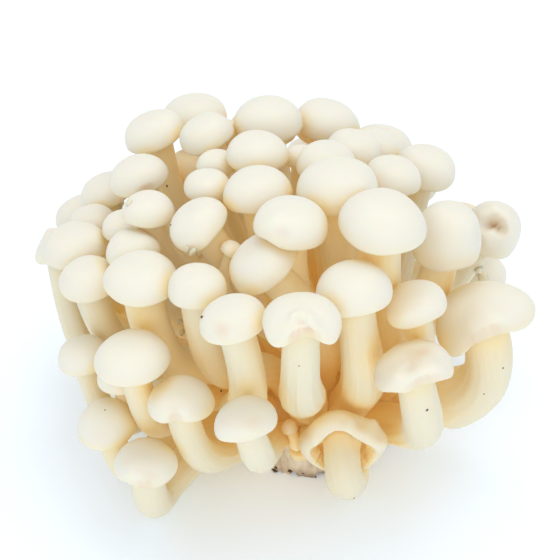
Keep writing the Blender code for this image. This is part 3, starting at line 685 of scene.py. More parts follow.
COMMON_FORM = Form()
FORMS = {
    "front": Form(
        lip=0.60, roll=0.30, hollow=0.46, rise=0.45, fold=0.018, sides=288, tip=2.2,
        shift=(-0.7, 0.0, 2.2), frill=0.03, lumpy=3.0, arches=((300, 30, -0.15), (60, 26, -0.08)),
        marks=(((373, 424), 1.5, -0.9, 0.1), ((331, 424), 1.4, -0.4, 0.1), ((343, 422), 1.4, 0.4, 0.2),
               ((352, 420), 1.3, -0.4, 0.0), ((361, 423), 1.4, 0.5, 0.3), ((322, 430), 1.3, 0.4, 0.2),
               ((314, 440), 1.5, -0.3, 0.0), ((380, 436), 1.5, 0.4, 0.1))),
    "middle_5": Form(
        sides=192, size=0.95, rise=0.60, roll=0.09, tip=0.0,
        tears=((350, 12, 0.07, 8), (14, 15, 0.05, 6)),
        arches=((10, 26, 0.18), (318, 26, 0.12), (48, 24, 0.05)),
        marks=(((294, 316), 1.3, -0.8, 0.05), ((301, 322), 1.2, 0.8, 0.35), ((308, 330), 1.0, 0.6, 0.3),
               ((299, 330), 1.0, -0.4, 0.1), ((314, 328), 1.2, -0.4, 0.1))),
    "right_1": Form(
        sides=144, rise=0.62, tip=0.0, tears=((12, 20, 0.04, 4),),
        arches=((14, 24, 0.28), (330, 24, 0.24), (44, 26, 0.26)),
        marks=(((411, 356), 2.0, 0.3, 0.5), ((417, 351), 2.0, 0.3, 0.6), ((424, 350), 1.8, 0.3, 0.5),
               ((409, 366), 1.8, 0.4, 0.2))),
    "right_2": Form(
        sides=192, frill=0.02, shift=(-1.7, 0.0, -0.3), tears=((2, 24, 0.04, 6),),
        arches=((10, 34, 0.38), (312, 24, -0.12)),
        marks=(((468, 345), 2.6, 0.5, 0.2), ((484, 322), 3.4, 0.5, 0.1))),
    "right_3": Form(rise=0.96, roll=0.42, lip=0.78, shift=(-0.5, 0.0, 0.2),
                    marks=(((479, 236), 2.4, 0.9, 0.1),)),
    "right_3_twin": Form(
        rise=1.0, roll=0.34, lip=0.78, sides=192, size=1.12, shift=(-1.2, 0.0, 0.7),
        marks=(((481, 229), 1.4, 1.5, 0.5), ((486, 225), 1.6, 1.9, 0.6), ((492, 223), 1.6, 2.0, 0.6),
               ((498, 225), 1.6, 2.0, 0.6), ((503, 230), 1.4, 1.7, 0.5), ((491, 234), 1.8, -1.0, 0.0),
               ((486, 240), 1.8, -0.8, 0.0), ((497, 242), 2.0, -0.8, 0.0), ((483, 215), 1.8, -0.9, 0.0),
               ((495, 210), 1.8, -1.0, 0.0), ((507, 217), 1.8, -0.9, 0.0))),
    "middle_2": Form(tears=((345, 8, 0.03, 4),), marks=(((197, 250), 1.4, 0.3, 0.3),)),
    "middle_3": Form(shift=(0.6, 0.0, -1.2)),
    "middle_4": Form(rise=0.65, tip=0.0, marks=(((222, 331), 1.6, 0.25, 0.6), ((240, 326), 2.4, 0.2, 0.1))),
    "middle_6": Form(shift=(0.0, 0.0, 1.2)),
    "middle_7": Form(shift=(-0.8, 0.0, 0.5), arches=((330, 26, -0.08), (30, 30, 0.10)),
                     marks=(((402, 318), 2.0, -0.5, 0.1),)),
    "double_middle": Form(arches=((318, 20, 0.12),), marks=(((283, 236), 1.6, 0.6, 0.2),)),
    "double_middle_twin": Form(marks=(((246, 247), 2.6, 0.3, 0.1),)),
    "double_left": Form(tears=((20, 18, 0.05, 4),), marks=(((148, 192), 1.8, 0.5, 0.4),)),
    "double_left_twin": Form(size=1.08, shift=(-0.9, 0.0, -0.2)),
    "left_1": Form(size=1.18, shift=(2.0, 0.0, 0.2)),
    "left_3": Form(size=1.05),
    "left_4": Form(size=1.06, rise=0.9, roll=0.3, lip=0.78, tip=1.0, shift=(1.5, 0.0, -0.4), lumpy=2.0,
                   marks=(((46, 226), 1.5, -0.7, 0.15), ((50, 236), 1.4, 0.5, 0.2))),
    "left_6": Form(shift=(2.6, 0.0, 1.3)),
    "left_7": Form(size=1.04, shift=(2.0, 0.0, 1.3)),
    "left_8": Form(rise=0.67, shift=(1.3, 0.0, 0.4), arches=((290, 34, 0.10),)),
    "left_9": Form(shift=(2.0, 0.0, 0.9)),
    "low_1": Form(size=0.97, rise=0.62, tip=0.0, shift=(0.3, 0.0, 1.1)),
    "low_2": Form(shift=(2.0, 0.0, -0.6)),
    "low_3": Form(shift=(2.4, 1.2, 1.9), marks=(((100, 436), 3.0, 0.3, 0.15),)),
    "low_4": Form(tears=((4, 16, 0.04, 4),), arches=((330, 24, 0.12),),
                  marks=(((152, 474), 1.8, 0.4, 0.25),)),
    "low_5": Form(size=0.96, tears=((352, 14, 0.04, 4),), arches=((8, 34, 0.16),),
                  marks=(((175, 409), 1.6, 0.35, 0.3),)),
    "low_6": Form(rise=0.62, tip=0.0, arches=((22, 34, 0.14), (330, 34, 0.10)),
                  marks=(((254, 421), 2.4, 0.4, 0.25),)),
    "upper_2": Form(marks=(((362, 186), 2.2, -0.8, 0.0),)),
    "back_3": Form(shift=(-1.0, 0.0, -3.2)),
    "back_3_twin": Form(shift=(-1.0, 0.0, -3.2)),
}


def levelled(axis, front, tip):
    """A cap's directions after it has levelled itself: its axis tips less along Y."""
    axis = unit(axis * np.array((1.0, tip, 1.0)))
    front = unit(front - axis * (axis @ front))
    return axis, front, np.cross(axis, front)


def read_smooth(rows, places):
    """Rows of a table at fractional places, by Catmull-Rom curves through the rows."""
    first = np.clip(np.floor(places).astype(int), 0, len(rows) - 2)
    part = (places - first)[:, None]
    padded = np.vstack((2 * rows[0] - rows[1], rows, 2 * rows[-1] - rows[-2]))
    a, b, c, d = (padded[first + k] for k in range(4))
    return 0.5 * (2 * b + (c - a) * part + (2 * a - 5 * b + 4 * c - d) * part ** 2
                  + (3 * b - a - 3 * c + d) * part ** 3)


def angle_from(turn, bearing):
    """Angles from a bearing, between half a turn back and half a turn on."""
    return (turn - np.radians(bearing) + np.pi) % TURN - np.pi


def bell(turn, bearing, spread):
    """A bell curve round a bearing: e to the minus square of the angle over the spread."""
    return np.exp(-(angle_from(turn, bearing) / np.radians(spread)) ** 2)


def carried_sides(ways, front):
    """A front and a side direction for each ring of a stem, carried down from the cap."""
    fronts = np.empty_like(ways)
    ahead = front
    for k in range(len(ways) - 1, -1, -1):
        ahead = unit(ahead - ways[k] * (ahead @ ways[k]))
        fronts[k] = ahead
    return fronts, np.cross(ways, fronts)


def stem_skin(line, radii, front, turn, chance):
    """Rings of a stem: its line read smoothly, with ridges that run along it and a slow
    swelling; radius times one plus a sum of cosines of the bearing."""
    into = unit(line[0] - line[1])
    line = np.vstack([line[0] + into * depth for depth in FOOT_DEPTHS] + [line])
    radii = np.concatenate((np.full(len(FOOT_DEPTHS), radii[0]), radii))
    radii[0] *= FOOT_TAPER
    places = np.linspace(0.0, len(line) - 1.0, STEM_STEPS)
    centres = read_smooth(line, places)
    widths = read_smooth(radii[:, None], places)[:, 0]
    ways = unit(np.gradient(centres, axis=0))
    fronts, sides = carried_sides(ways, front)
    along = np.linspace(0.0, 1.0, STEM_STEPS)[:, None]
    relief = STEM_OVAL * chance.uniform(*STEM_OVALS) * np.cos(2 * (turn - chance.uniform(0, TURN)))
    swell = np.sin(TURN * (chance.uniform(*STEM_SWELLS) * along + chance.uniform()))
    relief = relief + STEM_SWELL * swell
    for count, height in RIDGES:
        drift = chance.uniform(-RIDGE_DRIFT, RIDGE_DRIFT) * along
        fade = np.sin(TURN * (chance.uniform(*RIDGE_FADES) * along + chance.uniform()))
        ridge = np.cos(count * (turn + drift) + chance.uniform(0, TURN))
        relief = relief + height * (1.0 - RIDGE_FADE + RIDGE_FADE * fade) * ridge
    wide = widths[:, None] * (1.0 + relief * np.clip(SMOOTH_TOP * (1.0 - along), 0.0, 1.0))
    spokes = np.cos(turn)[:, None] * fronts[:, None] + np.sin(turn)[:, None] * sides[:, None]
    lengths = np.append(0.0, np.cumsum(np.linalg.norm(np.diff(centres, axis=0), axis=1)))
    return centres[:, None] + wide[..., None] * spokes, lengths


def under_profile(neck, lip, roll, hollow):
    """Rows of the cap from the stem's end to its widest ring: reach, height, share taken
    of the margin's lobes, share of the gills' pleats, and how much of it is skin."""
    top = hollow - roll
    span, rim = lip - neck, 1.0 - lip
    return np.array((
        (neck * 1.02, -NECK_DROP - 0.1 * (NECK_DROP + top), 0.0, 0.0, 0.0),
        (neck * 1.10, top - 0.05, 0.0, 0.15, 0.0),
        (neck + 0.22 * span, top, 0.15, 1.0, 0.0),
        (neck + 0.55 * span, top + 0.01, 0.45, 1.0, 0.0),
        (neck + 0.88 * span, top - 0.15 * hollow, 0.85, 0.9, 0.1),
        (lip + 0.11 * rim, top - 0.7 * hollow, 0.95, 0.3, 0.6),
        (lip + 0.38 * rim, -1.04 * roll, 1.0, 0.0, 1.0),
        (lip + 0.70 * rim, -0.86 * roll, 1.0, 0.0, 1.0),
        (lip + 0.92 * rim, -0.52 * roll, 1.0, 0.0, 1.0),
        (1.0, 0.0, 1.0, 0.0, 1.0),
    ))


def dome_profile(rise):
    """Rows of the cap from its widest ring to near its apex: reach is a power of the
    cosine of the height angle, and height is rise times its sine."""
    angle = np.linspace(0.0, np.pi / 2, DOME_STEPS + 2)[1:-1]
    reach = np.cos(angle) ** DOME_ROUND
    none = np.zeros(DOME_STEPS)
    return np.stack((reach, rise * np.sin(angle), reach ** 2, none, none + 1.0), axis=1)


def grid_normals(points):
    """Outward directions of a grid of rings by bearings, from its neighbours' crossing."""
    along = np.gradient(points, axis=0)
    around = np.roll(points, -1, axis=1) - np.roll(points, 1, axis=1)
    normal = np.cross(around, along)
    return normal / np.maximum(np.linalg.norm(normal, axis=-1, keepdims=True), 1e-9)


def lumps(points, chance):
    """A soft unevenness: the mean of plane waves of random heading over the points."""
    heading = unit(chance.normal(size=(LUMP_WAVES, 3))) * TURN / LUMP_LENGTH
    heading *= chance.uniform(*LUMP_STRETCH, (LUMP_WAVES, 1))
    start = chance.uniform(0, TURN, LUMP_WAVES)
    return np.sin(points @ heading.T + start).mean(axis=-1) * LUMP_HEIGHT


def nearest_seen(at, points, normals):
    """The point nearest to a picture point, among those that face the viewer."""
    eye, right, up, forward = view_axes()
    away = points - eye
    pixel = away @ forward * VIEW_SPREAD / PICTURE_SIDE
    across = away @ right / pixel + PICTURE_SIDE / 2 - at[0]
    down = PICTURE_SIDE / 2 - away @ up / pixel - at[1]
    off = np.where((normals * away).sum(axis=-1) > 0.0, np.inf, across ** 2 + down ** 2)
    return points.reshape(-1, 3)[off.argmin()]


def cap_skin(m, form, place, axes, turn, chance):
    """Rings of a cap from the stem's end to near its apex, the apex, and the shares of
    gill, of skin, of stain and of the painted shade on the low rim.

    A tear is a flat-topped bump of the bearing, 1 over 1 plus an even power of it, and past
    it the reach is held back by a soft step, so that the torn flesh stands as a cliff."""
    axis, front, right = axes
    half = m.cap / 2 * form.size
    under = under_profile(m.neck / half, form.lip, form.roll, form.hollow)
    under = read_smooth(under, np.linspace(0.0, len(under) - 1.0, UNDER_STEPS))
    rows = np.vstack((under, dome_profile(form.rise * m.tall)))
    reach, height, lobed, gill, skin = (rows[:, k, None] for k in range(5))
    torn = np.zeros((len(rows), len(turn)))
    out, drop = np.zeros_like(turn), np.zeros_like(turn)
    for bearing, spread, carry, fall in m.lobes:
        out += carry * bell(turn, bearing, spread)
        drop += fall * bell(turn, bearing, spread)
    for count in (2, 3):
        oval = CAP_OVAL / (count - 1) * chance.uniform(-1, 1)
        out += oval * np.cos(count * (turn - chance.uniform(0, ANY_START)))
        wave = MARGIN_WAVE * chance.uniform(-1, 1)
        drop += wave * np.cos(count * (turn - chance.uniform(0, ANY_START)))
    for bearing, spread, lift in form.arches:
        drop -= lift * bell(turn, bearing, spread)
    for bearing, spread, missing, square in form.tears:
        ragged = sum(rag * np.sin(count * turn + start * bearing) for count, start, rag in TEAR_RAGS)
        gap = (1.0 + ragged) / (1.0 + (angle_from(turn, bearing) / np.radians(spread)) ** square)
        over = (reach - 1.0 + missing * gap) / TEAR_SOFTNESS
        reach = reach - TEAR_SOFTNESS * np.logaddexp(0.0, over) * (gap > TEAR_FAINT)
        torn = np.maximum(torn, np.clip(over + 1.0, 0.0, 1.0) * np.clip(gap, 0.0, 1.0))
    frayed = form.frill * sum(np.sin(count * turn + count) for count in FRAYS)
    band = np.exp(-((rows[:, 0, None] - form.lip) / FRAY_BAND) ** 2) * (height < 0.0)
    reach = reach + frayed * band
    pleat = form.fold * np.where(np.arange(len(turn)) % 2 == 0, -1.0, 1.0)
    wide = half * reach * (1.0 + lobed * out)
    high = half * (height - lobed * drop + gill * pleat)
    spokes = np.cos(turn)[:, None] * front + np.sin(turn)[:, None] * right
    base = place - axis * CAP_MIDDLE * half
    points = base + wide[..., None] * spokes + high[..., None] * axis
    apex = base + axis * form.rise * m.tall * half
    normals = grid_normals(points)
    press = -form.lumpy * lobed * skin * lumps(points, chance)
    stain = TEAR_STAIN * torn
    for at, size, deep, tint in form.marks:
        spot = nearest_seen(at, points, normals)
        square = ((points - spot) ** 2).sum(axis=-1) / size ** 2
        bump = np.exp(-square ** (2 if deep > DEEP_MARK else 1))
        press = press + deep * bump
        stain = stain + tint * bump
    points = points - normals * press[..., None]
    # Painted shade: the cap's low sides, just over the margin, are painted gold for the shade where they
    # turn down away from the light
    rim = skin * np.clip(1.0 - height / PAINTED_RIM_SHADE_HEIGHT, 0.0, 1.0) ** PAINTED_RIM_SHADE_FALL
    return points, apex, {"skin": skin, "gill": gill, "stain": stain, "rim": rim}


# How far off the skin crowding is read for the painted shade and glow: just off it, and further out and
# higher up
NEAR_OFF = 2.5
DEEP_OFF = 4.0
DEEP_UP = np.array((0.0, 0.0, 2.5))


def mushroom_skin(i):
    """The closed grid of one mushroom, its foot and apex, and what its surface reads: the cap's shares,
    how crowded it is for the painted shade and glow, and its place round and along the stem's fibres."""
    m = mushrooms[i]
    chance = np.random.default_rng(SKIN_SEED + i)
    twin = i > 0 and mushrooms[i - 1].node == m.node
    form = FORMS.get(m.node + "_twin" if twin else m.node, COMMON_FORM)
    turn = np.linspace(0.0, TURN, HIDDEN_SIDES if m.hidden else form.sides, endpoint=False)
    axes = levelled(bunch.axis[i], cap_fronts[i], form.tip)
    shift = np.array(form.shift)
    line = stem_lines[i] + shift * np.linspace(0.0, 1.0, STEM_POINTS)[:, None]
    stem, lengths = stem_skin(line, bunch.radius[i], axes[1], turn, chance)
    cap, apex, shares = cap_skin(m, form, bunch.place[i] + shift, axes, turn, chance)
    points = np.concatenate((stem, cap))
    none = np.zeros(stem.shape[:2])
    surface_and_painted_shade = {name: np.concatenate((none, np.broadcast_to(share, cap.shape[:2])))
              for name, share in shares.items()}
    off = grid_normals(points)
    # near and deep: crowding read for the painted shade's gold and ochre and for the painted glow
    surface_and_painted_shade["near"] = read_grid(painted_shade_near_grid, crowd_low, points + NEAR_OFF * off)
    surface_and_painted_shade["deep"] = read_grid(painted_shade_and_glow_grid, crowd_low, points + DEEP_OFF * off + DEEP_UP)
    surface_and_painted_shade["fibre"] = np.empty_like(points)
    surface_and_painted_shade["fibre"][..., :2] = m.neck * np.stack((np.cos(turn), np.sin(turn)), axis=1)
    surface_and_painted_shade["fibre"][..., 2] = np.append(lengths, np.full(len(cap), lengths[-1]))[:, None]
    return points, stem_lines[i][0], apex, surface_and_painted_shade


def grid_faces(rings, sides, offset=0):
    """Faces of a closed grid: quads between rings, a fan at the foot and one at the apex."""
    index = offset + np.arange(rings * sides).reshape(rings, sides)
    after = np.roll(index, -1, axis=1)
    quads = np.stack((index[:-1], after[:-1], after[1:], index[1:]), axis=-1).reshape(-1, 4)
    foot, apex = offset + rings * sides, offset + rings * sides + 1
    low = np.stack((after[0], index[0], np.full(sides, foot)), axis=-1)
    high = np.stack((index[-1], after[-1], np.full(sides, apex)), axis=-1)
    return quads, np.vstack((low, high))


def filled_mesh(name, points, quads, fans, flat=None):
    """A mesh from points in millimetres, four-sided faces and three-sided ones."""
    mesh = bpy.data.meshes.new(name)
    corners = np.concatenate((quads.ravel(), fans.ravel())).astype(np.int32)
    sizes = np.concatenate((np.full(len(quads), 4), np.full(len(fans), 3)))
    starts = np.append(0, np.cumsum(sizes)[:-1]).astype(np.int32)
    mesh.vertices.add(len(points))
    mesh.vertices.foreach_set("co", (points * MM).astype(np.float32).ravel())
    mesh.loops.add(len(corners))
    mesh.loops.foreach_set("vertex_index", corners)
    mesh.polygons.add(len(starts))
    mesh.polygons.foreach_set("loop_start", starts)
    mesh.update(calc_edges=True)
    smooth = np.ones(len(starts), bool)
    if flat is not None:
        smooth[:len(flat)] = ~flat
    mesh.polygons.foreach_set("use_smooth", smooth)
    return mesh


def add_values(mesh, name, values):
    """Stores a number, or three, for every point of a mesh."""
    kind, field = ("FLOAT_VECTOR", "vector") if values.ndim == 2 else ("FLOAT", "value")
    attribute = mesh.attributes.new(name, kind, "POINT")
    attribute.data.foreach_set(field, values.astype(np.float32).ravel())


def add_piece(name, mesh, material, nodes):
    """Puts a finished mesh in the scene as a piece that stands for its nodes."""
    mesh.materials.append(material)
    piece = bpy.data.objects.new(name, mesh)
    bpy.context.scene.collection.objects.link(piece)
    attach(piece, "root")
    if nodes:
        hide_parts(*nodes)


# Flesh: cream white and satin on the caps, warmer and fibrous along the stems.  Where mushrooms
# crowd and on the caps' low sides the colour is painted gold and ochre as painted shade, and
# crowded flesh gets a warm painted glow.
CAP_CREAM = (0.815, 0.787, 0.675, 1.0)
STEM_CREAM = (0.790, 0.735, 0.565, 1.0)
GILL_CREAM = (0.850, 0.760, 0.550, 1.0)
# GOLD is the stems' own tint between fibres and also painted shade; OCHRE is painted shade deep in the gaps;
# the glow colour is a painted glow, not a lamp
GOLD = (0.850, 0.715, 0.400, 1.0)
OCHRE = (0.850, 0.640, 0.270, 1.0)
STAIN = (0.740, 0.560, 0.370, 1.0)
PAINTED_GLOW = (0.900, 0.640, 0.200, 1.0)
BLACK = (0.0, 0.0, 0.0, 1.0)

# Crowding from which the painted shade's gold and ochre and the painted glow set in, and where they are full
PAINTED_GOLD_CROWD = (0.14, 0.52)
PAINTED_OCHRE_CROWD = (0.10, 0.50)
PAINTED_GLOW_CROWD = (0.12, 0.34)

# Shares of the tints: on gills, gold between fibres, the painted shade's gold where it is crowded and
# its ochre; how much of that gold clouds take, and how much less of the painted ochre and glow caps show
GILL_SHARE = 0.8
FIBRE_GOLD = 0.35
PAINTED_SHADE_GOLD = 0.65
PAINTED_SHADE_OCHRE = 0.85
CLOUDED = 0.4
CAP_LESS_PAINTED_OCHRE = 0.45
CAP_LESS_PAINTED_GLOW = 0.6

# The least of the painted shade's gold on a low rim and of a stain, and what crowding or clouds add to each
PAINTED_RIM_GOLD_LEAST = 0.18
PAINTED_RIM_GOLD_CROWDED = 0.9
STAIN_LEAST = 0.45
STAIN_CLOUDED = 0.5

# Fine relief: weights of grain, fibres, clouds and stains, its strength and its height in
# metres; then the roughness and what clouds add to it
GRAIN_RELIEF = 0.15
FIBRE_RELIEF = 1.4
CLOUD_RELIEF = 0.4
STAIN_RELIEF = 1.5
FLESH_RELIEF = (0.35, 0.0002)
SATIN = 0.46
SATIN_CLOUDED = 0.12

# Scales of the noises, how far the fibres are drawn out, and the level where they show
FIBRE_SCALE = 2.6
FIBRE_DRAWN = (1.0, 1.0, 0.12)
FIBRE_SHOWS = (0.35, 0.75)
CLOUD_SCALE = 130.0
GRAIN_SCALE = 1500.0


class Shade:
    """A value in a material's node tree.  + - and * add Math nodes, and node() adds any
    other node: its settings first, then the values or links of its sockets."""

    def __init__(self, tree, socket=None):
        self.tree = tree
        self.socket = socket

    def fill(self, node, inputs):
        """Gives a node's sockets their values or links."""
        for name, value in inputs.items():
            if isinstance(value, Shade):
                self.tree.links.new(value.socket, node.inputs[name])
            else:
                node.inputs[name].default_value = value

    def node(self, kind, inputs, output=0, **settings):
        """One output of a new node."""
        added = self.tree.nodes.new(kind)
        for name, value in settings.items():
            setattr(added, name, value)
        self.fill(added, inputs)
        return Shade(self.tree, added.outputs[output])

    def math(self, operation, first, second):
        """One Math node."""
        return self.node("ShaderNodeMath", {0: first, 1: second}, operation=operation)

    def __add__(self, other):
        return self.math("ADD", self, other)

    __radd__ = __add__

    def __rsub__(self, other):
        return self.math("SUBTRACT", other, self)

    def __mul__(self, other):
        return self.math("MULTIPLY", self, other)

    __rmul__ = __mul__

    def between(self, low, high):
        """0 below low, 1 above high and a smooth step between them."""
        return self.node("ShaderNodeMapRange", {"Value": self, "From Min": low, "From Max": high},
                         interpolation_type="SMOOTHSTEP")

    def mix(self, first, second):
        """A colour from first to second, as this value goes from 0 to 1."""
        return self.node("ShaderNodeMix", {0: self, 6: first, 7: second}, 2, data_type="RGBA")

    def noise(self, vector, scale, detail, roughness=0.5):
        """Noise, from 0 to 1, on a vector."""
        return self.node("ShaderNodeTexNoise", {"Vector": vector, "Scale": scale, "Detail": detail,
                                                "Roughness": roughness})

    def bump(self, height, strength, distance):
        """A bumped normal from a height."""
        return self.node("ShaderNodeBump", {"Height": height, "Strength": strength, "Distance": distance})

    def attribute(self, name, output="Fac"):
        """What a mesh stores for its points under a name."""
        return self.node("ShaderNodeAttribute", {}, output, attribute_name=name)


def new_material(name):
    """An empty Principled material: the material, its tree and its shader."""
    material = bpy.data.materials.new(name)
    material.use_nodes = True
    return material, Shade(material.node_tree), material.node_tree.nodes["Principled BSDF"]


def flesh_material():
    """Colour by skin and gill, painted shade and glow by crowding, painted shade on the low rims;
    fibres stretched along the stem; satin skin.
    """
    material, tree, shader = new_material("mushroom_flesh")
    place = tree.node("ShaderNodeTexCoord", {}, "Object")
    # near and deep are crowding, read for the painted shade and the painted glow; rim marks the painted
    # shade on the caps' low sides
    stored = ("skin", "gill", "stain", "rim", "near", "deep")
    skin, gill, stain, rim, near, deep = (tree.attribute(name) for name in stored)
    fibre = tree.attribute("fibre", "Vector")
    drawn = tree.node("ShaderNodeMapping", {"Vector": fibre, "Scale": FIBRE_DRAWN})
    strands = tree.noise(drawn, FIBRE_SCALE, 3.0, 0.6)
    cloud = tree.noise(place, CLOUD_SCALE, 3.0)
    grain = tree.noise(place, GRAIN_SCALE, 2.0)
    colour = skin.mix(STEM_CREAM, CAP_CREAM)
    colour = (gill * GILL_SHARE).mix(colour, GILL_CREAM)
    colour = ((1.0 - skin) * strands.between(*FIBRE_SHOWS) * FIBRE_GOLD).mix(colour, GOLD)
    clouded = 1.0 - CLOUDED + CLOUDED * cloud
    # Painted shade: gold where mushrooms crowd
    colour = (near.between(*PAINTED_GOLD_CROWD) * clouded * PAINTED_SHADE_GOLD).mix(colour, GOLD)
    # Painted shade: gold on the caps' low sides, more where crowded
    colour = (rim * (PAINTED_RIM_GOLD_LEAST + PAINTED_RIM_GOLD_CROWDED * near)).mix(colour, GOLD)
    # Painted shade: ochre deep in the gaps, less of it on the caps
    colour = (deep.between(*PAINTED_OCHRE_CROWD) * (1.0 - CAP_LESS_PAINTED_OCHRE * skin) * PAINTED_SHADE_OCHRE).mix(colour, OCHRE)
    colour = (stain * (STAIN_LEAST + STAIN_CLOUDED * cloud)).mix(colour, STAIN)
    height = grain * GRAIN_RELIEF + (1.0 - skin) * strands * FIBRE_RELIEF
    height = height + cloud * CLOUD_RELIEF + stain * cloud * STAIN_RELIEF
    tree.fill(shader, {
        "Base Color": colour,
        "Roughness": SATIN + SATIN_CLOUDED * cloud,
        # Painted glow: crowded flesh glows warm, in place of light passed between stems
        "Emission Color": (deep.between(*PAINTED_GLOW_CROWD) * (1.0 - CAP_LESS_PAINTED_GLOW * skin)).mix(BLACK, PAINTED_GLOW),
        "Normal": tree.bump(height, *FLESH_RELIEF),
        "Emission Strength": 0.08,
        "Specular IOR Level": 0.35,
        "Subsurface Weight": 0.35,
        "Subsurface Radius": (1.0, 0.55, 0.22),
        "Subsurface Scale": 0.0025,
    })
    return material


# Share of gill from which faces are pleated, with sharp folds
PLEATED = 0.2

flesh = flesh_material()
flesh_points, flesh_faces = [], []
by_node = {}
for i, m in enumerate(mushrooms):
    by_node.setdefault(m.node, []).append(i)

for node, members in by_node.items():
    points, quads, fans, flat, values = [], [], [], [], {}
    offset = 0
    for i in members:
        grid, foot, apex, surface_and_painted_shade = mushroom_skin(i)
        rings, sides = grid.shape[:2]
        faces, ends = grid_faces(rings, sides, offset)
        points.append(np.vstack((grid.reshape(-1, 3), foot, apex)))
        quads.append(faces)
        fans.append(ends)
        flat.append((surface_and_painted_shade["gill"][:-1] > PLEATED).ravel())
        for name, value in surface_and_painted_shade.items():
            value = value.reshape(rings * sides, *value.shape[2:])
            values.setdefault(name, []).append(np.concatenate((value, value[[0, -sides]])))
        offset += rings * sides + 2
    for face in (*quads, *fans):
        flesh_faces += (face + len(flesh_points)).tolist()
    flesh_points += np.vstack(points).tolist()
    stacked = (np.vstack(part) for part in (points, quads, fans))
    mesh = filled_mesh(f"{node}_skin", *stacked, np.concatenate(flat))
    for name, parts in values.items():
        add_values(mesh, name, np.concatenate(parts))
    add_piece(f"{node}_skin", mesh, flesh, [node])

# Butt: the old mycelium block that everything grows from, dull beige and fibrous.  It was cut
# off flat underneath, and is torn and crumbly round the cut.
BUTT_RINGS = 72
BUTT_BEARINGS = 300
BUTT_SEED = 5

# Profile: shares of the cut's radius from its middle outwards, the flank as shares of the
# radius and heights, and height angles over the dome
BUTT_CUT = (0.3, 0.6, 0.85, 0.96, 1.0)
BUTT_FLANK = ((0.995, 1.5), (0.99, 3.5), (1.0, 6.0))
BUTT_DOME = (0, 14, 30, 46, 62, 76, 87)

# Furrows up the flank: waves a turn, depth, sway, where from the middle they set in, and by
# how much and how fast they fade and return with height
FURROWS = (5, 9, 13, 20, 31, 47, 70, 103)
FURROW_DEPTH = 0.9
FURROW_SWAY = 0.05
FURROW_FROM = 0.7
FURROW_OVER = 4.0
FURROW_FADE = 0.4
FURROW_WAVE = 0.5

# Where its foot is torn in: waves a turn, start and share, with the depth and how high it
# goes; dents, as bearing, spread and share of the radius; and the rags that lift its lower
# edge off the table, as waves a turn and start, with how far and how high up they lift
TORN_WAVES = ((5, 2.0, 1.0), (9, 0.4, 0.8), (23, 0.0, 0.4))
TORN_DEPTH = 0.7
TORN_TOP = 5.0
BUTT_DENTS = ((48.0, 26.0, 0.15), (150.0, 40.0, 0.10), (245.0, 24.0, 0.08))
BUTT_RAGS = ((17, 0.3), (29, 1.7), (47, 0.2), (83, 2.0))
BUTT_RAG = 0.55
RAG_TOP = 4.0

# Colours of its fibres, its pale blotches and its brown foot
BUTT_PALE = (0.78, 0.66, 0.50, 1.0)
BUTT_BROWN = (0.56, 0.42, 0.28, 1.0)
BUTT_BLOTCH = (0.84, 0.75, 0.62, 1.0)
BUTT_FOOT = (0.22, 0.12, 0.06, 1.0)

# Its noises: how far streaks are drawn out, and the scales of streaks, blotches and grain;
# then the levels where streaks, pale blotches and brown crumbs show
STREAK_DRAWN = (1.0, 1.0, 0.18)
STREAK_SCALE = 520.0
BLOTCH_SCALE = 160.0
BUTT_GRAIN = 1400.0
STREAKS_SHOW = (0.38, 0.72)
BLOTCHES_SHOW = (0.45, 0.70)
CRUMBS_SHOW = (0.38, 0.60)

# Heights in metres up to which the foot is brown, and over which the top turns to ochre;
# shares of the blotches and the ochre; its grain, and its relief's strength and height
FOOT_FADES = (0.0002, 0.0030)
TOP_FADES = (0.0100, 0.0150)
BLOTCH_SHARE = 0.6
TOP_OCHRE = 0.85
GRAIN_SHARE = 0.5
BUTT_RELIEF = (0.7, 0.0006)


def butt_skin():
    """Rings of the butt from the middle of its cut, out, up the flank and over the dome;
    the flank is furrowed by waves along the bearing and torn in at its foot."""
    turn = np.linspace(0.0, TURN, BUTT_BEARINGS, endpoint=False)
    cut = [(share * BUTT_CUT_RADIUS, 0.0) for share in BUTT_CUT]
    flank = [(share * BUTT_RADIUS, height) for share, height in BUTT_FLANK]
    rise = BUTT_HEIGHT - BUTT_WAIST
    dome = [(BUTT_RADIUS * np.cos(a), BUTT_WAIST + rise * np.sin(a)) for a in np.radians(BUTT_DOME)]
    rows = np.array(cut + flank + dome)
    rows = read_smooth(rows, np.linspace(0.0, len(rows) - 1.0, BUTT_RINGS))
    reach, height = rows[:, 0, None], np.maximum(rows[:, 1, None], 0.0)
    side = np.clip((reach - FURROW_FROM * BUTT_CUT_RADIUS) / FURROW_OVER, 0.0, 1.0)
    chance = np.random.default_rng(BUTT_SEED)
    relief = np.zeros((BUTT_RINGS, BUTT_BEARINGS))
    for count in FURROWS:
        sway = chance.uniform(-FURROW_SWAY, FURROW_SWAY) * height
        furrow = np.cos(count * (turn + sway) + chance.uniform(0, ANY_START))
        fade = np.cos(FURROW_WAVE * height + chance.uniform(0, ANY_START))
        relief += FURROW_DEPTH / np.sqrt(count) * furrow * (1.0 - FURROW_FADE + FURROW_FADE * fade)
    torn = np.maximum(sum(share * np.sin(count * turn + start) for count, start, share in TORN_WAVES), 0.0)
    wide = reach + side * (relief - TORN_DEPTH * np.clip(1.0 - height / TORN_TOP, 0.0, 1.0) * torn)
    low = np.sqrt(np.clip(1.0 - height / BUTT_WAIST, 0.0, 1.0))
    for bearing, spread, share in BUTT_DENTS:
        wide = wide * (1.0 - share * low * bell(turn, bearing, spread))
    ragged = np.maximum(sum(np.sin(count * turn + start) for count, start in BUTT_RAGS), 0.0)
    lift = BUTT_RAG * ragged * np.clip(1.0 - height / RAG_TOP, 0.0, 1.0) * side
    return np.stack((wide * np.sin(turn), -wide * np.cos(turn), height + lift), axis=-1)


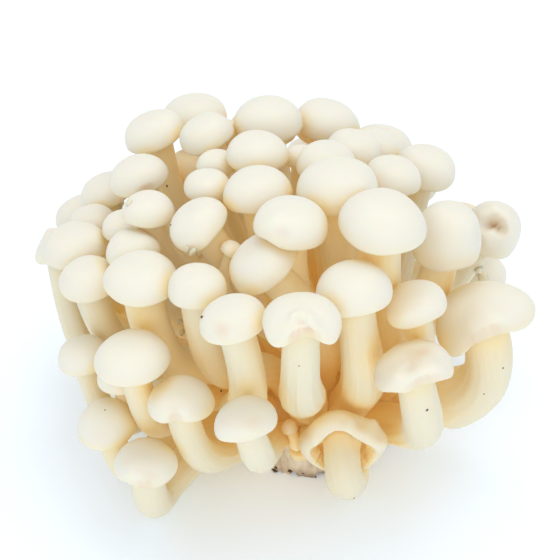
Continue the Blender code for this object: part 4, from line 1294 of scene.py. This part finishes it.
def butt_material():
    """Beige, streaked up and down, darkening to brown crumbs at the cut."""
    material, tree, shader = new_material("butt")
    place = tree.node("ShaderNodeTexCoord", {}, "Object")
    drawn = tree.node("ShaderNodeMapping", {"Vector": place, "Scale": STREAK_DRAWN})
    streaks = tree.noise(drawn, STREAK_SCALE, 4.0, 0.6)
    blotch = tree.noise(place, BLOTCH_SCALE, 3.0)
    grain = tree.noise(place, BUTT_GRAIN, 3.0)
    height = tree.node("ShaderNodeSeparateXYZ", {0: place}, "Z")
    low = 1.0 - height.between(*FOOT_FADES)
    colour = streaks.between(*STREAKS_SHOW).mix(BUTT_PALE, BUTT_BROWN)
    colour = (blotch.between(*BLOTCHES_SHOW) * BLOTCH_SHARE).mix(colour, BUTT_BLOTCH)
    colour = (low * blotch.between(*CRUMBS_SHOW)).mix(colour, BUTT_FOOT)
    colour = (height.between(*TOP_FADES) * TOP_OCHRE).mix(colour, OCHRE)
    normal = tree.bump(streaks + grain * GRAIN_SHARE, *BUTT_RELIEF)
    tree.fill(shader, {"Base Color": colour, "Normal": normal, "Roughness": 0.9})
    return material


butt_grid = butt_skin()
ends = np.array(((0.0, 0.0, 0.0), (0.0, 0.0, BUTT_HEIGHT)))
mesh = filled_mesh("butt_block", np.vstack((butt_grid.reshape(-1, 3), ends)),
                   *grid_faces(BUTT_RINGS, BUTT_BEARINGS))
add_piece("butt_block", mesh, butt_material(), ["butt"])

# Crumbs and shreds: dark crumbs of the old block cling to its lower edge and a few have
# fallen on the flesh, and shreds of the torn veil hang where caps have opened.
CRUMB_COUNT = 90
CRUMB_SIZE = (0.20, 0.55)
CRUMB_TOP = 1.6
CRUMB_REACH = 0.9
CRUMB_LIFT = 0.8
CRUMB_SEED = 9
CRUMB_BROWN = (0.120, 0.065, 0.035, 1.0)

# Picture points where the flesh carries a speck or a shred, with their sizes
SPECKS = (((202, 317), 0.36), ((221, 391), 0.26), ((171, 225), 0.20), ((503, 368), 0.20), ((484, 394), 0.16),
          ((427, 410), 0.28), ((354, 498), 0.18), ((365, 496), 0.18), ((299, 366), 0.15), ((167, 186), 0.24),
          ((105, 410), 0.15))
SHREDS = (((193, 251), 0.8), ((199, 253), 0.9), ((187, 249), 0.6), ((122, 205), 1.0), ((129, 203), 0.7),
          ((48, 221), 1.1), ((54, 227), 0.8), ((479, 269), 1.2), ((483, 276), 1.3), ((180, 321), 0.9),
          ((182, 332), 0.7))

# Blobs: rings and sides, how far each kind is stretched, how flat and how uneven they are,
# and how far their middles stand off the flesh
BLOB_RINGS = 7
BLOB_SIDES = 12
CRUMB_STRETCH = 1.2
SPECK_STRETCH = 1.1
SHRED_STRETCH = 1.5
BLOB_FLAT = 0.7
BLOB_WAVES = (0.25, 0.18)
BLOB_OFF = 0.1


def blob(centre, way, size, stretch, chance):
    """Rings and poles of a small uneven ball, stretched across the way it faces: its
    radius is one plus two waves of the bearing and the height angle."""
    turn = np.linspace(0.0, TURN, BLOB_SIDES, endpoint=False)
    rise = np.linspace(-np.pi / 2, np.pi / 2, BLOB_RINGS + 2)[1:-1, None]
    side = unit(np.cross(way, chance.normal(size=3)))
    other = np.cross(way, side)
    start = chance.uniform(0, TURN, 3)
    wave = BLOB_WAVES[0] * np.sin(2 * turn + start[0]) * np.cos(rise)
    wave = wave + BLOB_WAVES[1] * np.sin(3 * turn + 4 * rise + start[1])
    flat = size * (1.0 + wave) * np.cos(rise)
    high = BLOB_FLAT * size * (1.0 + wave) * np.sin(rise)
    points = (centre + (stretch * flat * np.cos(turn))[..., None] * side
              + (flat * np.sin(turn))[..., None] * other + high[..., None] * way)
    pole = BLOB_FLAT * size * way
    return np.vstack((points.reshape(-1, 3), centre - pole, centre + pole))


def blobs_at(marks, stretch, chance):
    """A blob half sunk in the flesh at each picture point that shows flesh."""
    blobs = []
    for at, size in marks:
        hit, normal = flesh_shell.ray_cast(*cast(at, DOME_CENTRE, DOME_RADII, -VIEW_DISTANCE / 2))[:2]
        if hit is not None:
            way = np.array(normal)
            blobs.append(blob(np.array(hit) + BLOB_OFF * size * way, way, size, stretch, chance))
    return blobs


def blobs_mesh(name, blobs):
    """One mesh of many blobs."""
    starts = range(0, len(blobs) * len(blobs[0]), len(blobs[0]))
    faces = [grid_faces(BLOB_RINGS, BLOB_SIDES, start) for start in starts]
    return filled_mesh(name, np.vstack(blobs), *(np.vstack(part) for part in zip(*faces)))


flesh_shell = BVHTree.FromPolygons(flesh_points, flesh_faces)
chance = np.random.default_rng(CRUMB_SEED)
outward = np.hypot(butt_grid[..., 0], butt_grid[..., 1])
edge = butt_grid[(butt_grid[..., 2] < CRUMB_TOP) & (outward > CRUMB_REACH * BUTT_CUT_RADIUS)]
crumbs = []
for k in chance.choice(len(edge), CRUMB_COUNT, replace=False):
    size = chance.uniform(*CRUMB_SIZE)
    place = np.array((*edge[k][:2], max(edge[k][2], CRUMB_LIFT * size)))
    crumbs.append(blob(place, np.array((0.0, 0.0, 1.0)), size, CRUMB_STRETCH, chance))
crumbs += blobs_at(SPECKS, SPECK_STRETCH, chance)
material, tree, shader = new_material("crumbs")
tree.fill(shader, {"Base Color": CRUMB_BROWN, "Roughness": 0.9})
add_piece("crumbs", blobs_mesh("crumbs", crumbs), material, [])
shreds = blobs_at(SHREDS, SHRED_STRETCH, chance)
add_piece("shreds", blobs_mesh("shreds", shreds), flesh, [])

# Floor and light: a white sweep lit by one large soft box above and behind, a weaker one
# in front, and a bright white room.
FLOOR_HALF = 8000.0
FLOOR_WHITE = (0.810, 0.890, 0.990, 1.0)
FLOOR_GLOW = (0.93, 0.965, 1.0, 1.0)
KEY_PLACE = (60.0, 120.0, 760.0)
KEY_SIZE = 620.0
KEY_POWER = 1.7
FILL_PLACE = (-60.0, -760.0, 420.0)
FILL_SIZE = 800.0
FILL_POWER = 1.9
ROOM_WHITE = (0.95, 0.97, 1.0, 1.0)
ROOM_LIGHT = 0.80
LIGHT_BOUNCES = 12

corners = FLOOR_HALF * np.array(((-1, -1, 0), (1, -1, 0), (1, 1, 0), (-1, 1, 0)))
mesh = filled_mesh("floor", corners, np.array(((0, 1, 2, 3),)), np.zeros((0, 3), int))
material, tree, shader = new_material("floor")
tree.fill(shader, {"Base Color": FLOOR_WHITE, "Roughness": 0.9, "Emission Color": FLOOR_GLOW,
                   "Emission Strength": 0.18})
mesh.materials.append(material)
floor = bpy.data.objects.new("floor", mesh)
bpy.context.scene.collection.objects.link(floor)


def soft_box(name, place, size, power):
    """A square area light that faces the bunch."""
    lamp = bpy.data.lights.new(name, "AREA")
    lamp.size = size * MM
    lamp.energy = power
    holder = bpy.data.objects.new(name, lamp)
    x, y, z = np.array(place) - VIEW_CENTRE
    holder.location = np.array(place) * MM
    holder.rotation_euler = (np.arctan2(np.hypot(x, y), z), 0.0, np.arctan2(x, -y))
    bpy.context.scene.collection.objects.link(holder)


soft_box("key", KEY_PLACE, KEY_SIZE, KEY_POWER)
soft_box("fill", FILL_PLACE, FILL_SIZE, FILL_POWER)
world = bpy.data.worlds.new("room")
world.use_nodes = True
background = world.node_tree.nodes["Background"]
background.inputs["Color"].default_value = ROOM_WHITE
background.inputs["Strength"].default_value = ROOM_LIGHT
bpy.context.scene.world = world
bpy.context.scene.view_settings.view_transform = "Standard"
bpy.context.scene.cycles.diffuse_bounces = LIGHT_BOUNCES
